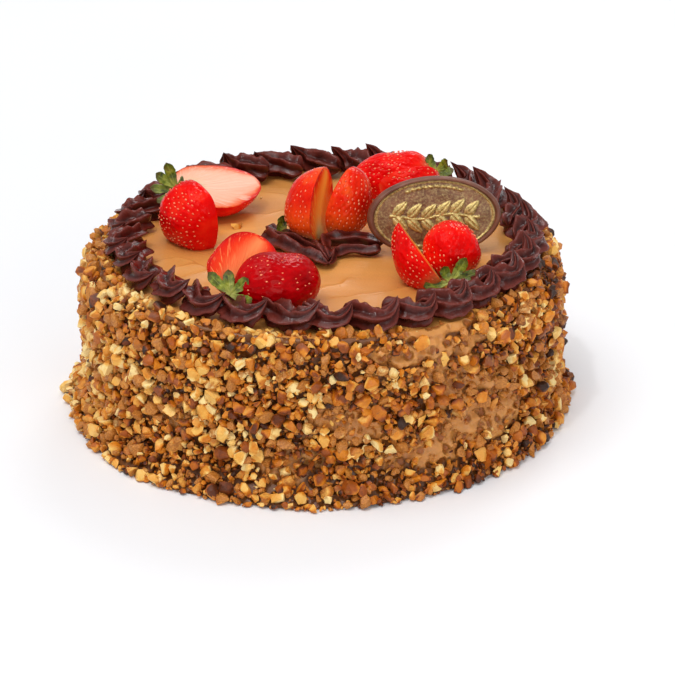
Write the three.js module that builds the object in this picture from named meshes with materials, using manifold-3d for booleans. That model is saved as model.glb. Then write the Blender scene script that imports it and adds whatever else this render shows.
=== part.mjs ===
// A round german chocolate cake: a caramel-frosted drum with a crust of chopped nuts on its wall,
// a piped chocolate border round the top edge, a short piped rope across the middle, five cut
// strawberries with their leaves, and an oval chocolate plaque that stands on its long edge.
// Millimetres, +Z up, origin on the floor under the middle of the cake, its front towards -Y.

import * as THREE from "three";
import { mergeVertices } from "three/addons/utils/BufferGeometryUtils.js";
import ManifoldModule from "manifold-3d";

const wasm = await ManifoldModule();
wasm.setup();

// Drum: its frosted top is flat, its top edge is rounded, and nuts heap up round its foot
const CAKE_HEIGHT = 70;
const WALL_RADIUS = 102;
const TOP_FLAT_RADIUS = 95.5;
const EDGE_DROP = 13;
const FOOT_SPREAD = 8.5;
const FOOT_HEIGHT = 16;
const FLOOR_RADIUS = 98;
const FOOT_SLOPE = 1.7;

// Slow waves round the cake, each as [waves a turn, size, phase, lean a millimetre of height]: of the
// heap at the foot, as a share of its spread, of the whole wall and of the wall below its rounded
// edge, both in millimetres
const HEAP_WAVES = [[1, 0.22, -1.83, 0], [3, 0.12, 0.6, 0], [7, 0.08, 0, 0]];
const OVAL_WAVES = [[2, 1.4, 0.17, 0]];
const WALL_WAVES = [[5, 0.5, 0, 0.05]];

// Crust of chopped nuts: staggered rows of bumps of their size, some standing out, the rest sunk
const CRUST_ROWS = 20;
const CRUST_COLUMNS = 150;
const NUT_SHARE = 0.45;
const NUT_STAND_OUT = 2.3;
const CRUST_DIP = 1;
const ROW_WANDER = 1.2;
const LEAST_NUT = 0.4;

// Chocolate border: a rope piped in a zigzag round the top edge, whose turns make the shells
const REST_GAP = 0.3;
const BORDER_RADIUS = 86;
const BORDER_HALF_WIDTH = 10;
const BORDER_HEIGHT = 11.4;
const SHELLS = 30;
const SHELL_FOLDS = [0.5, 0.95, 0.8, 0.72, 0.82, 1.0];
const SHELL_SWAY = 2.4;
const SHELL_LEAN = 0.075;
const BORDER_ARCH_STEPS = 7;
const BORDER_CREST_ROUNDNESS = 0.8;
const BORDER_SIDE_ROUNDNESS = 0.85;
const BORDER_GAP_WIDTH = 0.8;
const SHELL_LENGTHS = [0.85, 1.15];
const SHELL_HEIGHTS = [0.92, 1.06];
const SHELL_WIDTHS = [0.94, 1.04];

// Piped rope across the middle, under the upright strawberry
const ROPE_WIDTH = 10;
const ROPE_HEIGHT = 6.5;
const ROPE_ARMS = [
  [[-25, 8.5], [-20, 2.5], [-14.5, -3], [-7.5, -10], [-2, -18], [2.3, -25]],
  [[2.3, -25], [2.6, -17], [4, -10], [9.5, -6], [17, -5.6], [25.5, -7.4]],
];
const ROPE_STEPS = 11;
const ROPE_FLUTES = 3;
const ROPE_FLUTE_DEPTH = 0.14;
const ROPE_END_REACH = 1.6;
const ROPE_END_HEIGHT = 1.2;
const ROPE_END_WIDTH = 0.5;
const ROPE_END_TAPER = 3;

// Strawberries, each cut lengthwise into two pieces that still meet at the stem.
// stem and tip are the ends of a piece's axis, radius its widest, face the way its cut side looks,
// past_axis how far the cut lies beyond the axis, as a share of the radius (0 is a true half), and
// blunt how full the tip is: 0 takes the first and 1 the second of each pair of tip numbers.
const BERRY_HEART = 0.36;
const BERRY_RINGS = 9;
const BERRY_SIDES = 9;
const BERRY_TIP_FULLNESS = [1.9, 2.8];
const BERRY_TIP_ROUNDNESS = [0.62, 0.48];
const BERRY_CUT_LIMIT = 1.2;
const BERRIES = {
  strawberry_left_back: {
    stem: [-64, 27.2, 85.8], tip: [-28.6, 46.8, 81.4],
    radius: 14.4, face: [0.1, -0.36, 0.93], past_axis: 0, blunt: 0.5,
  },
  strawberry_left_front: {
    stem: [-63.6, 16.8, 83.6], tip: [-46.2, -6.8, 80.2],
    radius: 15.4, face: [0.35, 0.9, 0.1], past_axis: 0.1, blunt: 1.3,
  },
  strawberry_front_back: {
    stem: [-38, -69.5, 76.5], tip: [-24.5, -52.5, 96],
    radius: 14.5, face: [0.15, -0.85, 0.4], past_axis: 0, blunt: 1,
  },
  strawberry_front_round: {
    stem: [-34.8, -70.4, 80.4], tip: [-1.2, -55, 78.5],
    radius: 14.2, face: [-0.1, 0.9, 0.05], past_axis: 0.25, blunt: 0.7,
  },
  strawberry_centre_left: {
    stem: [-2, 0.5, 71.5], tip: [1, 12.8, 102],
    radius: 16.2, face: [0.95, -0.31, 0], past_axis: 0, blunt: 0.4,
  },
  strawberry_centre_right: {
    stem: [4.8, 8.3, 71.8], tip: [13.2, 16, 101],
    radius: 12.3, face: [-0.8, 0.55, 0.1], past_axis: 0, blunt: 0.7,
  },
  strawberry_back_upper: {
    stem: [49.5, 59.8, 80.6], tip: [12, 62.3, 75.9],
    radius: 12.2, face: [0, 0.62, -0.78], past_axis: 0, blunt: 0.6,
  },
  strawberry_back_lower: {
    stem: [51.5, 50, 80.8], tip: [24.5, 43, 82.5],
    radius: 12.2, face: [0, 0.85, 0.5], past_axis: 0, blunt: 0.6,
  },
  strawberry_right_left: {
    stem: [50.4, -45.6, 72.8], tip: [32, -25.3, 91.8],
    radius: 13, face: [0.85, 0.05, 0.42], past_axis: 0, blunt: 0,
  },
  strawberry_right_round: {
    stem: [56, -36.3, 71.4], tip: [52.2, -21.8, 91.4],
    radius: 12.3, face: [-0.15, 0.95, 0.2], past_axis: 0.15, blunt: 0.8,
  },
};

// Leaves of the strawberries: hub is where they meet, and each leaf has the way it points and its
// length; up is the side that its upper face looks to.
const LEAF_WIDTH = 4.9;
const LEAF_THICKNESS = 0.8;
const LEAF_STATIONS = [[0, 0.26, 0], [0.45, 1, -0.5], [0.8, 0.72, 0.5]];
const LEAF_FOLD = 0.7;
const LEAF_CURL = 1.7;
const LEAF_TOLERANCE = 0.04;
const LEAF_GAP = 0.5;
const CALYXES = {
  leaves_left: {
    hub: [-64.3, 26.4, 86.3],
    up: [-0.3, -0.6, 0.8],
    leaves: [
      [[-4, 1.5, 10.6], 12.5],
      [[-8, 2, 4.5], 11],
      [[-10, 1, -1.5], 11.5],
      [[-7.5, -5, -6], 11.2],
      [[5, -2, 6], 7],
    ],
  },
  leaves_front: {
    hub: [-37, -74, 79.4],
    up: [0.1, -0.8, 0.6],
    leaves: [
      [[-8.4, 2, 7.5], 13],
      [[-1.4, 9.5, 6], 11],
      [[6.7, 0.5, 6], 10.5],
      [[9.5, -8.5, -0.5], 13],
    ],
  },
  leaves_back: {
    hub: [50.2, 58.2, 82.8],
    up: [0.2, -0.6, 0.8],
    leaves: [
      [[-0.55, 0.3, 0.85], 8.5],
      [[0.75, -0.2, 0.75], 8.5],
      [[1, 0.6, -0.25], 8.5],
      [[0.6, -0.7, -0.5], 7.5],
    ],
  },
  leaves_right: {
    hub: [53.2, -47.2, 74.2],
    up: [0.1, -0.7, 0.8],
    leaves: [
      [[0.55, 0.2, 0.75], 12.5],
      [[1, 0.25, 0.25], 12.5],
      [[-1, -0.35, -0.12], 12],
      [[-0.45, 0.35, 0.8], 7],
    ],
  },
  leaf_centre: {
    hub: [-16.4, 5.4, 75.4],
    up: [0.2, -0.7, 0.7],
    leaves: [[[-0.3, 0.3, 0.9], 6.5], [[-0.9, -0.2, 0.5], 5]],
  },
};

// Plaque: an oval with a raised rim round a sunken field, leaning back on its lower long edge. Its
// profile runs from the middle of its back to the middle of its field, as [share of its half width,
// share of its half thickness].
const PLAQUE_HALF_WIDTH = 29;
const PLAQUE_HALF_HEIGHT = 17.3;
const PLAQUE_THICKNESS = 5.6;
const PLAQUE_BACK = [[0, -1], [0.96, -1], [1, -0.6]];
const PLAQUE_FRONT = [[1, 0.45], [0.97, 1], [0.93, 1], [0.89, 0.54], [0, 0.54]];
const PLAQUE_SEGMENTS = 36;
const PLAQUE_CENTRE = [47.6, -3.5, 86.2];
const PLAQUE_LEAN = 0.2;
const PLAQUE_TURN = 0.13;

const frosting = new THREE.MeshStandardMaterial({ color: 0xc8945a, roughness: 0.6, metalness: 0 });
const chocolate = new THREE.MeshStandardMaterial({ color: 0x4a2b24, roughness: 0.35, metalness: 0 });
const strawberry = new THREE.MeshStandardMaterial({ color: 0xcc1a16, roughness: 0.3, metalness: 0 });
const leaf = new THREE.MeshStandardMaterial({ color: 0x6f8436, roughness: 0.55, metalness: 0 });
const plaqueChocolate = new THREE.MeshStandardMaterial({ color: 0x7a5c3c, roughness: 0.4, metalness: 0.1 });

// A repeatable random draw between 0 and 1
function randomFrom(seed) {
  let state = seed;
  return () => {
    state = (state + 0x6d2b79f5) | 0;
    let bits = Math.imul(state ^ (state >>> 15), 1 | state);
    bits = (bits + Math.imul(bits ^ (bits >>> 7), 61 | bits)) ^ bits;
    return ((bits ^ (bits >>> 14)) >>> 0) / 4294967296;
  };
}

// A closed skin over rings of points: ring after ring outwards-facing when the rings climb
// the outside, with a single end point before the first ring and one after the last.
function skinOfRings(rings, firstEnd, lastEnd) {
  const sides = rings[0].length;
  const points = [...rings.flat(), firstEnd, lastEnd];
  const faces = [];
  for (let row = 0; row < rings.length - 1; row += 1) {
    for (let side = 0; side < sides; side += 1) {
      const here = row * sides + side;
      const next = row * sides + ((side + 1) % sides);
      faces.push(here, next, next + sides, here, next + sides, here + sides);
    }
  }
  const first = points.length - 2;
  const last = points.length - 1;
  const lastRow = (rings.length - 1) * sides;
  for (let side = 0; side < sides; side += 1) {
    const next = (side + 1) % sides;
    faces.push(first, next, side, last, lastRow + side, lastRow + next);
  }
  return geometryFrom(points, faces);
}

// A closed loop of sections, such as a ring: the last section joins the first
function skinOfLoop(sections) {
  const sides = sections[0].length;
  const count = sections.length;
  const faces = [];
  for (let row = 0; row < count; row += 1) {
    for (let side = 0; side < sides; side += 1) {
      const here = row * sides + side;
      const up = row * sides + ((side + 1) % sides);
      const across = ((row + 1) % count) * sides + side;
      const far = ((row + 1) % count) * sides + ((side + 1) % sides);
      faces.push(here, across, far, here, far, up);
    }
  }
  return geometryFrom(sections.flat(), faces);
}

function geometryFrom(points, faces) {
  const geometry = new THREE.BufferGeometry();
  const flat = points.flatMap((point) => [point.x, point.y, point.z]);
  geometry.setAttribute("position", new THREE.Float32BufferAttribute(flat, 3));
  geometry.setIndex(faces);
  return geometry;
}

function solidOf(geometry) {
  const bare = geometry.clone();
  bare.deleteAttribute("normal");
  bare.deleteAttribute("uv");
  const merged = mergeVertices(bare, 1e-4);
  const mesh = new wasm.Mesh({
    numProp: 3,
    vertProperties: Float32Array.from(merged.attributes.position.array),
    triVerts: Uint32Array.from(merged.index.array),
  });
  return new wasm.Manifold(mesh);
}

function geometryOf(solid) {
  const mesh = solid.getMesh();
  const geometry = new THREE.BufferGeometry();
  geometry.setAttribute("position", new THREE.BufferAttribute(Float32Array.from(mesh.vertProperties), 3));
  geometry.setIndex(new THREE.BufferAttribute(Uint32Array.from(mesh.triVerts), 1));
  geometry.computeVertexNormals();
  return geometry;
}

function vector(list) {
  return new THREE.Vector3(...list);
}

function polar(radius, angle, height) {
  return new THREE.Vector3(radius * Math.cos(angle), radius * Math.sin(angle), height);
}

function wavesAt(waves, angle, height) {
  return waves.reduce((sum, [turns, size, phase, lean]) => (
    sum + size * Math.sin(turns * angle + phase + lean * height)
  ), 0);
}

// The frosted wall's radius: upright, drawn in at the rounded top edge, and spread by the heap of
// nuts at the foot, more on the left and at the right of the front.
function wallRadius(angle, height) {
  const edge = Math.max(0, (height - (CAKE_HEIGHT - EDGE_DROP)) / EDGE_DROP);
  const drawnIn = (WALL_RADIUS - TOP_FLAT_RADIUS) * (1 - Math.sqrt(1 - Math.min(1, edge) ** 2));
  const heap = FOOT_SPREAD * (1 + wavesAt(HEAP_WAVES, angle, height));
  const foot = heap * Math.max(0, 1 - height / FOOT_HEIGHT) ** FOOT_SLOPE;
  const swell = wavesAt(WALL_WAVES, angle, height) * Math.min(1, (CAKE_HEIGHT - height) / EDGE_DROP);
  return WALL_RADIUS - drawnIn + foot + swell + wavesAt(OVAL_WAVES, angle, height);
}

// The frosted drum: each point of its wall is the crown of a nut or a dip between nuts
function cakeBody() {
  const random = randomFrom(21);
  const rings = [ringOf(0, (angle) => polar(FLOOR_RADIUS, angle, 0))];
  for (let row = 0; row <= CRUST_ROWS; row += 1) {
    const atEdge = row === 0 || row === CRUST_ROWS;
    const wander = atEdge ? 0 : ROW_WANDER;
    rings.push(ringOf(row % 2, (angle) => {
      const height = (CAKE_HEIGHT * row) / CRUST_ROWS + wander * (random() - 0.5);
      const size = LEAST_NUT + (1 - LEAST_NUT) * random();
      const relief = random() < NUT_SHARE ? NUT_STAND_OUT * size : -CRUST_DIP * size;
      return polar(wallRadius(angle, height) + (row < CRUST_ROWS ? relief : 0), angle, height);
    }));
  }
  return solidOf(skinOfRings(rings, vector([0, 0, 0]), vector([0, 0, CAKE_HEIGHT])));
}

// A ring of points round the cake; a staggered ring starts half a column further on
function ringOf(staggered, pointAt) {
  return Array.from({ length: CRUST_COLUMNS }, (_, column) => (
    pointAt(((column + 0.5 * staggered) / CRUST_COLUMNS) * 2 * Math.PI)
  ));
}

// A flat block wider than the cake between two heights, for trimming
function slab(low, high) {
  const block = new THREE.BoxGeometry(4 * WALL_RADIUS, 4 * WALL_RADIUS, high - low);
  block.translate(0, 0, (low + high) / 2);
  return solidOf(block);
}

// One section of the border, from its outer foot over the crest to its inner foot. The zigzag
// sways it in and out, and its ridges lean over as they climb.
function borderSection(turn, fold, height, width) {
  const section = [];
  const sway = SHELL_SWAY * Math.cos(turn * SHELLS * 2 * Math.PI);
  for (let step = 0; step < BORDER_ARCH_STEPS; step += 1) {
    const arch = (step / (BORDER_ARCH_STEPS - 1)) * Math.PI;
    const rise = Math.sin(arch) ** BORDER_CREST_ROUNDNESS;
    const spread = Math.sign(Math.cos(arch)) * Math.abs(Math.cos(arch)) ** BORDER_SIDE_ROUNDNESS;
    const reach = width * (BORDER_GAP_WIDTH + (1 - BORDER_GAP_WIDTH) * fold);
    const radius = BORDER_RADIUS + reach * spread + 0.5 * sway * (1 - rise);
    const angle = turn * 2 * Math.PI + 0.5 * SHELL_LEAN * (1 - Math.cos(arch));
    section.push(polar(radius, angle, CAKE_HEIGHT + REST_GAP + height * fold * rise));
  }
  return section;
}

// The border as one ring, each shell a little taller, wider or longer than the next
function chocolateBorder() {
  const random = randomFrom(5);
  const between = ([low, high]) => low + (high - low) * random();
  const lengths = Array.from({ length: SHELLS }, () => between(SHELL_LENGTHS));
  const total = lengths.reduce((sum, length) => sum + length, 0);
  const sections = [];
  let start = 0;
  for (const length of lengths) {
    const height = BORDER_HEIGHT * between(SHELL_HEIGHTS);
    const width = BORDER_HALF_WIDTH * between(SHELL_WIDTHS);
    SHELL_FOLDS.forEach((fold, step) => {
      const turn = (start + (length * step) / SHELL_FOLDS.length) / total;
      sections.push(borderSection(turn, fold, height, width));
    });
    start += length;
  }
  return solidOf(skinOfLoop(sections));
}

// One arm of the rope across the middle: a fluted arch carried along a smooth path
function ropeArm(points) {
  const corners = points.map(([x, y]) => new THREE.Vector3(x, y, 0));
  const path = new THREE.CatmullRomCurve3(corners, false, "centripetal");
  const rings = [];
  for (let step = 0; step <= ROPE_STEPS; step += 1) {
    const share = step / ROPE_STEPS;
    const ahead = path.getTangentAt(share);
    const aside = new THREE.Vector3(ahead.y, -ahead.x, 0);
    const taper = Math.min(1, ROPE_END_WIDTH + ROPE_END_TAPER * Math.min(share, 1 - share));
    rings.push(ropeSection(path.getPointAt(share), aside, taper));
  }
  const ends = [0, 1].map((share) => {
    const reach = share === 0 ? -ROPE_END_REACH : ROPE_END_REACH;
    const end = path.getPointAt(share).addScaledVector(path.getTangentAt(share), reach);
    return end.setZ(CAKE_HEIGHT + REST_GAP + ROPE_END_HEIGHT);
  });
  return solidOf(skinOfRings(rings, ends[0], ends[1]));
}

function ropeSection(centre, aside, taper) {
  const count = 2 * ROPE_FLUTES;
  const section = [];
  for (let corner = 0; corner < count; corner += 1) {
    const arch = (corner / (count - 1)) * Math.PI;
    const flute = corner % 2 === 0 ? 1 - ROPE_FLUTE_DEPTH : 1;
    const sideways = -0.5 * ROPE_WIDTH * taper * flute * Math.cos(arch);
    const height = CAKE_HEIGHT + REST_GAP + ROPE_HEIGHT * taper * flute * Math.sin(arch);
    section.push(new THREE.Vector3(centre.x, centre.y, height).addScaledVector(aside, sideways));
  }
  return section;
}

// How wide a strawberry is along its axis, from stem (0) to tip (1), as a share of its radius
function berryWidth(share, blunt) {
  if (share < BERRY_HEART) {
    return Math.sqrt(Math.max(0, 1 - ((BERRY_HEART - share) / BERRY_HEART) ** 2));
  }
  const beyond = (share - BERRY_HEART) / (1 - BERRY_HEART);
  const chosen = ([pointed, full]) => pointed + (full - pointed) * blunt;
  return Math.max(0, 1 - beyond ** chosen(BERRY_TIP_FULLNESS)) ** chosen(BERRY_TIP_ROUNDNESS);
}

// A piece of strawberry: rings along the axis, round outside and straight across at the cut.
// grow makes it larger all round, for cutting a neighbour clear of it.
function berryPiece({ stem, tip, radius, face, past_axis, blunt }, grow = 0) {
  const start = vector(stem);
  const axis = vector(tip).sub(start);
  const length = axis.length() + 2 * grow;
  axis.normalize();
  start.addScaledVector(axis, -grow);
  const outward = vector(face).negate();
  outward.addScaledVector(axis, -outward.dot(axis)).normalize();
  const aside = new THREE.Vector3().crossVectors(outward, axis);
  const widest = radius + grow;
  const cut = past_axis * radius + grow;
  const rings = [];
  for (let ring = 1; ring < BERRY_RINGS; ring += 1) {
    const share = 0.5 - 0.5 * Math.cos((ring / BERRY_RINGS) * Math.PI);
    const wide = widest * berryWidth(share, blunt);
    const dip = Math.min(BERRY_CUT_LIMIT, Math.asin(Math.min(1, cut / wide)));
    rings.push(Array.from({ length: BERRY_SIDES }, (_, side) => {
      const angle = -dip + (side / (BERRY_SIDES - 1)) * (Math.PI + 2 * dip);
      const point = start.clone().addScaledVector(axis, share * length);
      point.addScaledVector(aside, wide * Math.cos(angle));
      return point.addScaledVector(outward, wide * Math.sin(angle));
    }));
  }
  const end = start.clone().addScaledVector(axis, length);
  return solidOf(skinOfRings(rings, start, end));
}

// A tuft of leaves: thin wavy blades that run into each other at the hub
function calyx({ hub, up, leaves }, grow = 0) {
  const middle = vector(hub);
  const top = vector(up).normalize();
  const blades = leaves.map(([direction, length]) => (
    leafBlade(middle, vector(direction).normalize(), length, top, grow)
  ));
  return blades.reduce((tuft, blade) => tuft.add(blade)).simplify(LEAF_TOLERANCE);
}

// One leaf as a thin sheet, both faces with the same triangles: a row of right edge, midrib and left
// edge at each station, and then its tip. It is folded along its midrib and curls at its tip.
function leafBlade(middle, along, length, up, grow) {
  const normal = up.clone().projectOnPlane(along).normalize();
  const leftward = new THREE.Vector3().crossVectors(normal, along);
  const broad = LEAF_WIDTH + 2 * grow;
  const sheet = LEAF_STATIONS.flatMap(([share, width, wave]) => [-1, 0, 1].map((across) => {
    const point = middle.clone().addScaledVector(along, share * (length + grow));
    point.addScaledVector(leftward, 0.5 * across * width * broad);
    point.addScaledVector(normal, wave + LEAF_FOLD * Math.abs(across));
    return { point, normal };
  }));
  const end = middle.clone().addScaledVector(along, length + grow).addScaledVector(normal, LEAF_CURL);
  const tip = sheet.push({ point: end, normal }) - 1;
  const faces = [[tip - 3, tip, tip - 2], [tip - 2, tip, tip - 1]];
  for (let right = 3; right < tip; right += 3) {
    faces.push([right - 3, right, right + 1], [right - 3, right + 1, right - 2]);
    faces.push([right - 2, right + 1, right + 2], [right - 2, right + 2, right - 1]);
  }
  const rights = LEAF_STATIONS.map((_, row) => 3 * row);
  const rim = [...rights, tip, ...rights.map((right) => right + 2).reverse(), 1];
  return solidOf(thickened(sheet, faces, rim, LEAF_THICKNESS + 2 * grow));
}

// A sheet of triangles given its thickness, with a wall along its rim
function thickened(sheet, faces, rim, thickness) {
  const count = sheet.length;
  const side = (sign) => sheet.map(({ point, normal }) => (
    point.clone().addScaledVector(normal, 0.5 * sign * thickness)
  ));
  const wall = rim.flatMap((here, index) => {
    const next = rim[(index + 1) % rim.length];
    return [here + count, next + count, next, here + count, next, here];
  });
  const under = faces.flatMap(([one, two, three]) => [one + count, three + count, two + count]);
  return geometryFrom([...side(1), ...side(-1)], [...faces.flat(), ...under, ...wall]);
}

// The plaque: a lathed disc with its rim and field, squeezed into an oval and stood on its edge
function plaque(grow = 0) {
  const profile = [...PLAQUE_BACK, ...PLAQUE_FRONT].map((corner) => new THREE.Vector2(...corner));
  const disc = new THREE.LatheGeometry(profile, PLAQUE_SEGMENTS);
  disc.scale(PLAQUE_HALF_WIDTH + grow, PLAQUE_THICKNESS / 2 + grow, PLAQUE_HALF_HEIGHT + grow);
  const stand = new THREE.Matrix4().makeTranslation(...PLAQUE_CENTRE);
  stand.multiply(new THREE.Matrix4().makeRotationZ(PLAQUE_TURN));
  stand.multiply(new THREE.Matrix4().makeRotationX(Math.PI - PLAQUE_LEAN));
  disc.applyMatrix4(stand);
  return solidOf(disc);
}

// Everything on the cake stands on the frosting and keeps clear of what it leans on
const onTop = slab(CAKE_HEIGHT + REST_GAP, 2 * CAKE_HEIGHT);
const cake = new THREE.Group();

function addPiece(name, solid, material) {
  const mesh = new THREE.Mesh(geometryOf(solid), material.clone());
  mesh.name = name;
  cake.add(mesh);
}

const standing = {};
const grown = [];
for (const [name, berry] of Object.entries(BERRIES)) {
  standing[name] = grown.reduce((piece, other) => piece.subtract(other), berryPiece(berry)).intersect(onTop);
  grown.push(berryPiece(berry, REST_GAP));
}
const cutters = [...grown, plaque(REST_GAP)];
const leafCutters = Object.values(CALYXES).map((tuft) => calyx(tuft, LEAF_GAP));

// What is left of a solid once its neighbours are cut away, without any loose scrap
function clearOf(solid, others) {
  const left = others.reduce((rest, other) => rest.subtract(other), solid);
  const merged = solidOf(geometryOf(left));
  return merged.decompose().reduce((largest, piece) => (piece.volume() > largest.volume() ? piece : largest));
}

addPiece("cake_body", cakeBody(), frosting);
addPiece("chocolate_border", clearOf(chocolateBorder(), [...cutters, ...leafCutters]), chocolate);
const rope = ropeArm(ROPE_ARMS[0]).add(ropeArm(ROPE_ARMS[1]));
addPiece("piped_rope", clearOf(rope, [...cutters, ...leafCutters]), chocolate);
for (const [name, solid] of Object.entries(standing)) {
  addPiece(name, solid, strawberry);
}
for (const [name, tuft] of Object.entries(CALYXES)) {
  addPiece(name, clearOf(calyx(tuft), cutters).intersect(onTop), leaf);
}
addPiece("chocolate_plaque", plaque().intersect(onTop), plaqueChocolate);

export default cake;
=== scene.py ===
"""A caramel-frosted cake with a crust of chopped nuts, a piped chocolate border and rope, cut
strawberries with their leaves, and an oval chocolate plaque. Shapes are worked out in millimetres."""
import math

import bmesh
import bpy
import numpy as np
from mathutils import Matrix, Vector


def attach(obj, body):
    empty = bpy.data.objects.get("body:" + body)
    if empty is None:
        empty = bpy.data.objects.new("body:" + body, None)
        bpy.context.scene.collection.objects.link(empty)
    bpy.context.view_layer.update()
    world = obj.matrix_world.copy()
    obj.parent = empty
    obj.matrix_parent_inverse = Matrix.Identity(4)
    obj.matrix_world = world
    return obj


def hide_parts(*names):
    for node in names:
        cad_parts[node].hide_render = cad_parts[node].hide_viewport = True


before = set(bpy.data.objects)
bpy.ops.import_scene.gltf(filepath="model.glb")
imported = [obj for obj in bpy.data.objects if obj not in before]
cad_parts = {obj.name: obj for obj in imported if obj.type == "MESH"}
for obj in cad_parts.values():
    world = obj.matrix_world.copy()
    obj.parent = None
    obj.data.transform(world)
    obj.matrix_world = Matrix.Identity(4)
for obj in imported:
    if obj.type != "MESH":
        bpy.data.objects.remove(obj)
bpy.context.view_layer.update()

MM = 0.001

# Unevenness that is a sum of sines: how many, their wavelengths as shares of the size, and the gain
WAVE_COUNT = 16
WAVE_LENGTHS = (0.7, 1.5)
WAVE_GAIN = 1.4

# Numbers that start the random draws; a strawberry adds its own number to its two
CRUST_DRAW = 77
BORDER_DRAW = 8
BERRY_DRAW = 100
BERRY_LUMP_DRAW = 200
SEED_DRAW = 9

# Drum of the cake: its edge rounds in from the wall to the flat top over the edge drop. The wall is a
# little oval and swells in lobes that turn with the height, and a heap of nuts spreads its foot.
CAKE_HEIGHT = 70
WALL_RADIUS = 102
TOP_FLAT_RADIUS = 95.5
EDGE_DROP = 13
OVALNESS = 1.4
OVAL_AZIMUTH = 40
SWELL = 0.5
SWELL_LOBES = 5
SWELL_TWIST = 0.05
FOOT_SPREAD = 8.5
FOOT_HEIGHT = 16
FOOT_SLOPE = 1.7
FLOOR_RADIUS = 98
DRUM_COLUMNS = 440
WALL_ROWS = 60
EDGE_ROWS = 24
TOP_ROWS = 130

# How the drum's rings lie: the wall's last ring this far below the rounded edge, the edge's first ring
# this many radians round and its last this far below the top, and the middle of the top sunk in.
# The top's unevenness fades out from a share of its radius to its rim.
WALL_END_GAP = 1.2
EDGE_START = 0.02
EDGE_SHORTFALL = 0.05
TOP_MIDDLE_SINK = 0.2
TOP_CALM_FROM = 0.92

# How the heap of nuts at the foot waves round the cake: lobes, share of its spread, and turn
HEAP_WAVES = (
    (1, 0.22, math.pi / 2 - 3.4),
    (3, 0.12, 0.6),
    (7, 0.08, 0),
)

# Frosting on the wall: set back under the nuts and brought forward where it is bare, both fading out
# over the last millimetres below the top, with lumps and creases, each with its height, the distance
# from one to the next, and its seed
FROSTING_INSET = 2.2
INSET_FADING = 4
BARE_FROSTING_RISE = 2.6
RISE_FADING = 6
LUMPS = (0.5, 8, 11)
CREASES = ((1.3, 5.5, 12), (0.5, 2.8, 13))
LUMPS_UNDER_NUTS = 0.3
LUMP_PATTERN_RADIUS = 100

# Frosting on the top: long sweeps and fine lines, each with its height, the distance from one to the
# next, its seed, and how much closer they are along x, y and z
TOP_WAVES = (
    (0.2, 26, 4, (0.35, 1, 1)),
    (0.02, 5, 5, (0.2, 1.2, 1)),
)
TOP_SINK = 0.25

# Long curved marks of the spatula on the top: from, to, bow and height of the raised edge. Each has a
# steep and a long side and wanders a little, fades in and out near its ends, and has a line of painted
# shade beside its steep side, whose colour is full where the edge is raised by the full shade lift.
RIDGE_WANDER = 0.5
RIDGE_WANDER_SIZE = 9
RIDGE_WANDER_SEED = 6
RIDGE_FADES_IN = (-0.15, 0.2)
RIDGE_FADES_OUT = (1.15, 0.8)
RIDGE_STEEP_SIDE = 1.1
RIDGE_LONG_SIDE = 4.5
FULL_SHADE_LIFT = 1.7
RIDGE_SHADE_WIDTH = 0.9
SPATULA_RIDGES = (
    ((-60, -36), (-47, -28), 2.5, 2.1),
    ((-66, -30), (-50, -24), -2, 1.5),
    ((-70, -18), (-54, -21.5), -3, 1.4),
    ((6, -56), (41, -41), 3, 2.1),
    ((-10, -48), (12, -33.5), 3.5, 0.9),
    ((-38, 37), (-12, 46), 4, 0.9),
    ((-25, 62), (6, 55), 3, 0.8),
    ((20, 62), (62, 30), 6, 0.9),
    ((-70, 8), (-36, 2), 4, 0.6),
)

# Chopped nuts by size: name, width, spacing of the grid they are scattered on, how far they stand
# out as a share of half their width, the corners of each, and how dark they are: toasting, and for the
# smaller nuts that sit deeper also painted shade
NUT_SIZES = (
    ("nuts_coarse", (3.8, 6.9), 4.9, 0.32, 34, 0.46),
    ("nuts_medium", (2.5, 4.2), 3.6, 0.08, 22, 0.55),
    ("nuts_fine", (1.5, 2.6), 2.8, -0.4, 14, 0.7),
)

# Shape of a nut: least and most of its dents, breadth and thickness as shares of its length, how many
# cuts it has (fewer than the second number), at which share of its reach they lie, and the angle past
# which an edge looks sharp
NUT_SHAPES = 30
NUT_DENTS = (0.76, 1.06)
NUT_BREADTH = (0.6, 0.95)
NUT_THICKNESS = (0.5, 0.8)
NUT_CUTS = (3, 6)
NUT_CUT_REACH = (0.25, 0.65)
NUT_EDGE_ANGLE = 33

# Crust: the radius that its columns are counted on, how far it runs in over the top, how close its rows
# are, how far a nut strays from its place in the grid, a power that makes more nuts small, how
# unevenly they stand out, how much deeper they sit in bare frosting, how high the middle of a nut lies
# over what it rests on, as a share of its width, and how low a point of a nut may lie
CRUST_RADIUS = 106
CRUST_INWARD = 5.5
CRUST_ROW_STEP = 0.87
CRUST_JITTER = 0.48
SMALL_NUTS_FAVOURED = 1.3
STAND_OUT_SPREAD = 0.25
SUNK_WHERE_BARE = 0.35
RESTING_SHARE = 0.3
LOWEST_NUT_POINT = 0.02

# Toasting: spread between nuts, the darkest that is not burnt, how much paler cut sides are, how much
# darker the nuts are painted towards the right as shade, clouds with their depth, size and seed, the share
# of burnt nuts, and the least and most frosting smeared on a nut and how much more where the frosting is
# bare
TOAST_SPREAD = 0.2
TOAST_LIMIT = 0.9
CUT_PALENESS = 0.3
SHADE_TO_RIGHT = 0.09
TOAST_CLOUDS = (0.12, 26, 78)
BURNT_SHARE = 0.02
SMEARED = (-0.5, 0.75)
SMEARED_WHERE_BARE = 0.6

# Nuts that have fallen on the top: place and width
STRAY_NUTS = (
    (-38.2, 20.3, 4.4),
    (-36.4, 22, 2.6),
    (-28.2, 55, 1.5),
    (57, 18, 2.2),
    (16, 70, 3.0),
)

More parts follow.
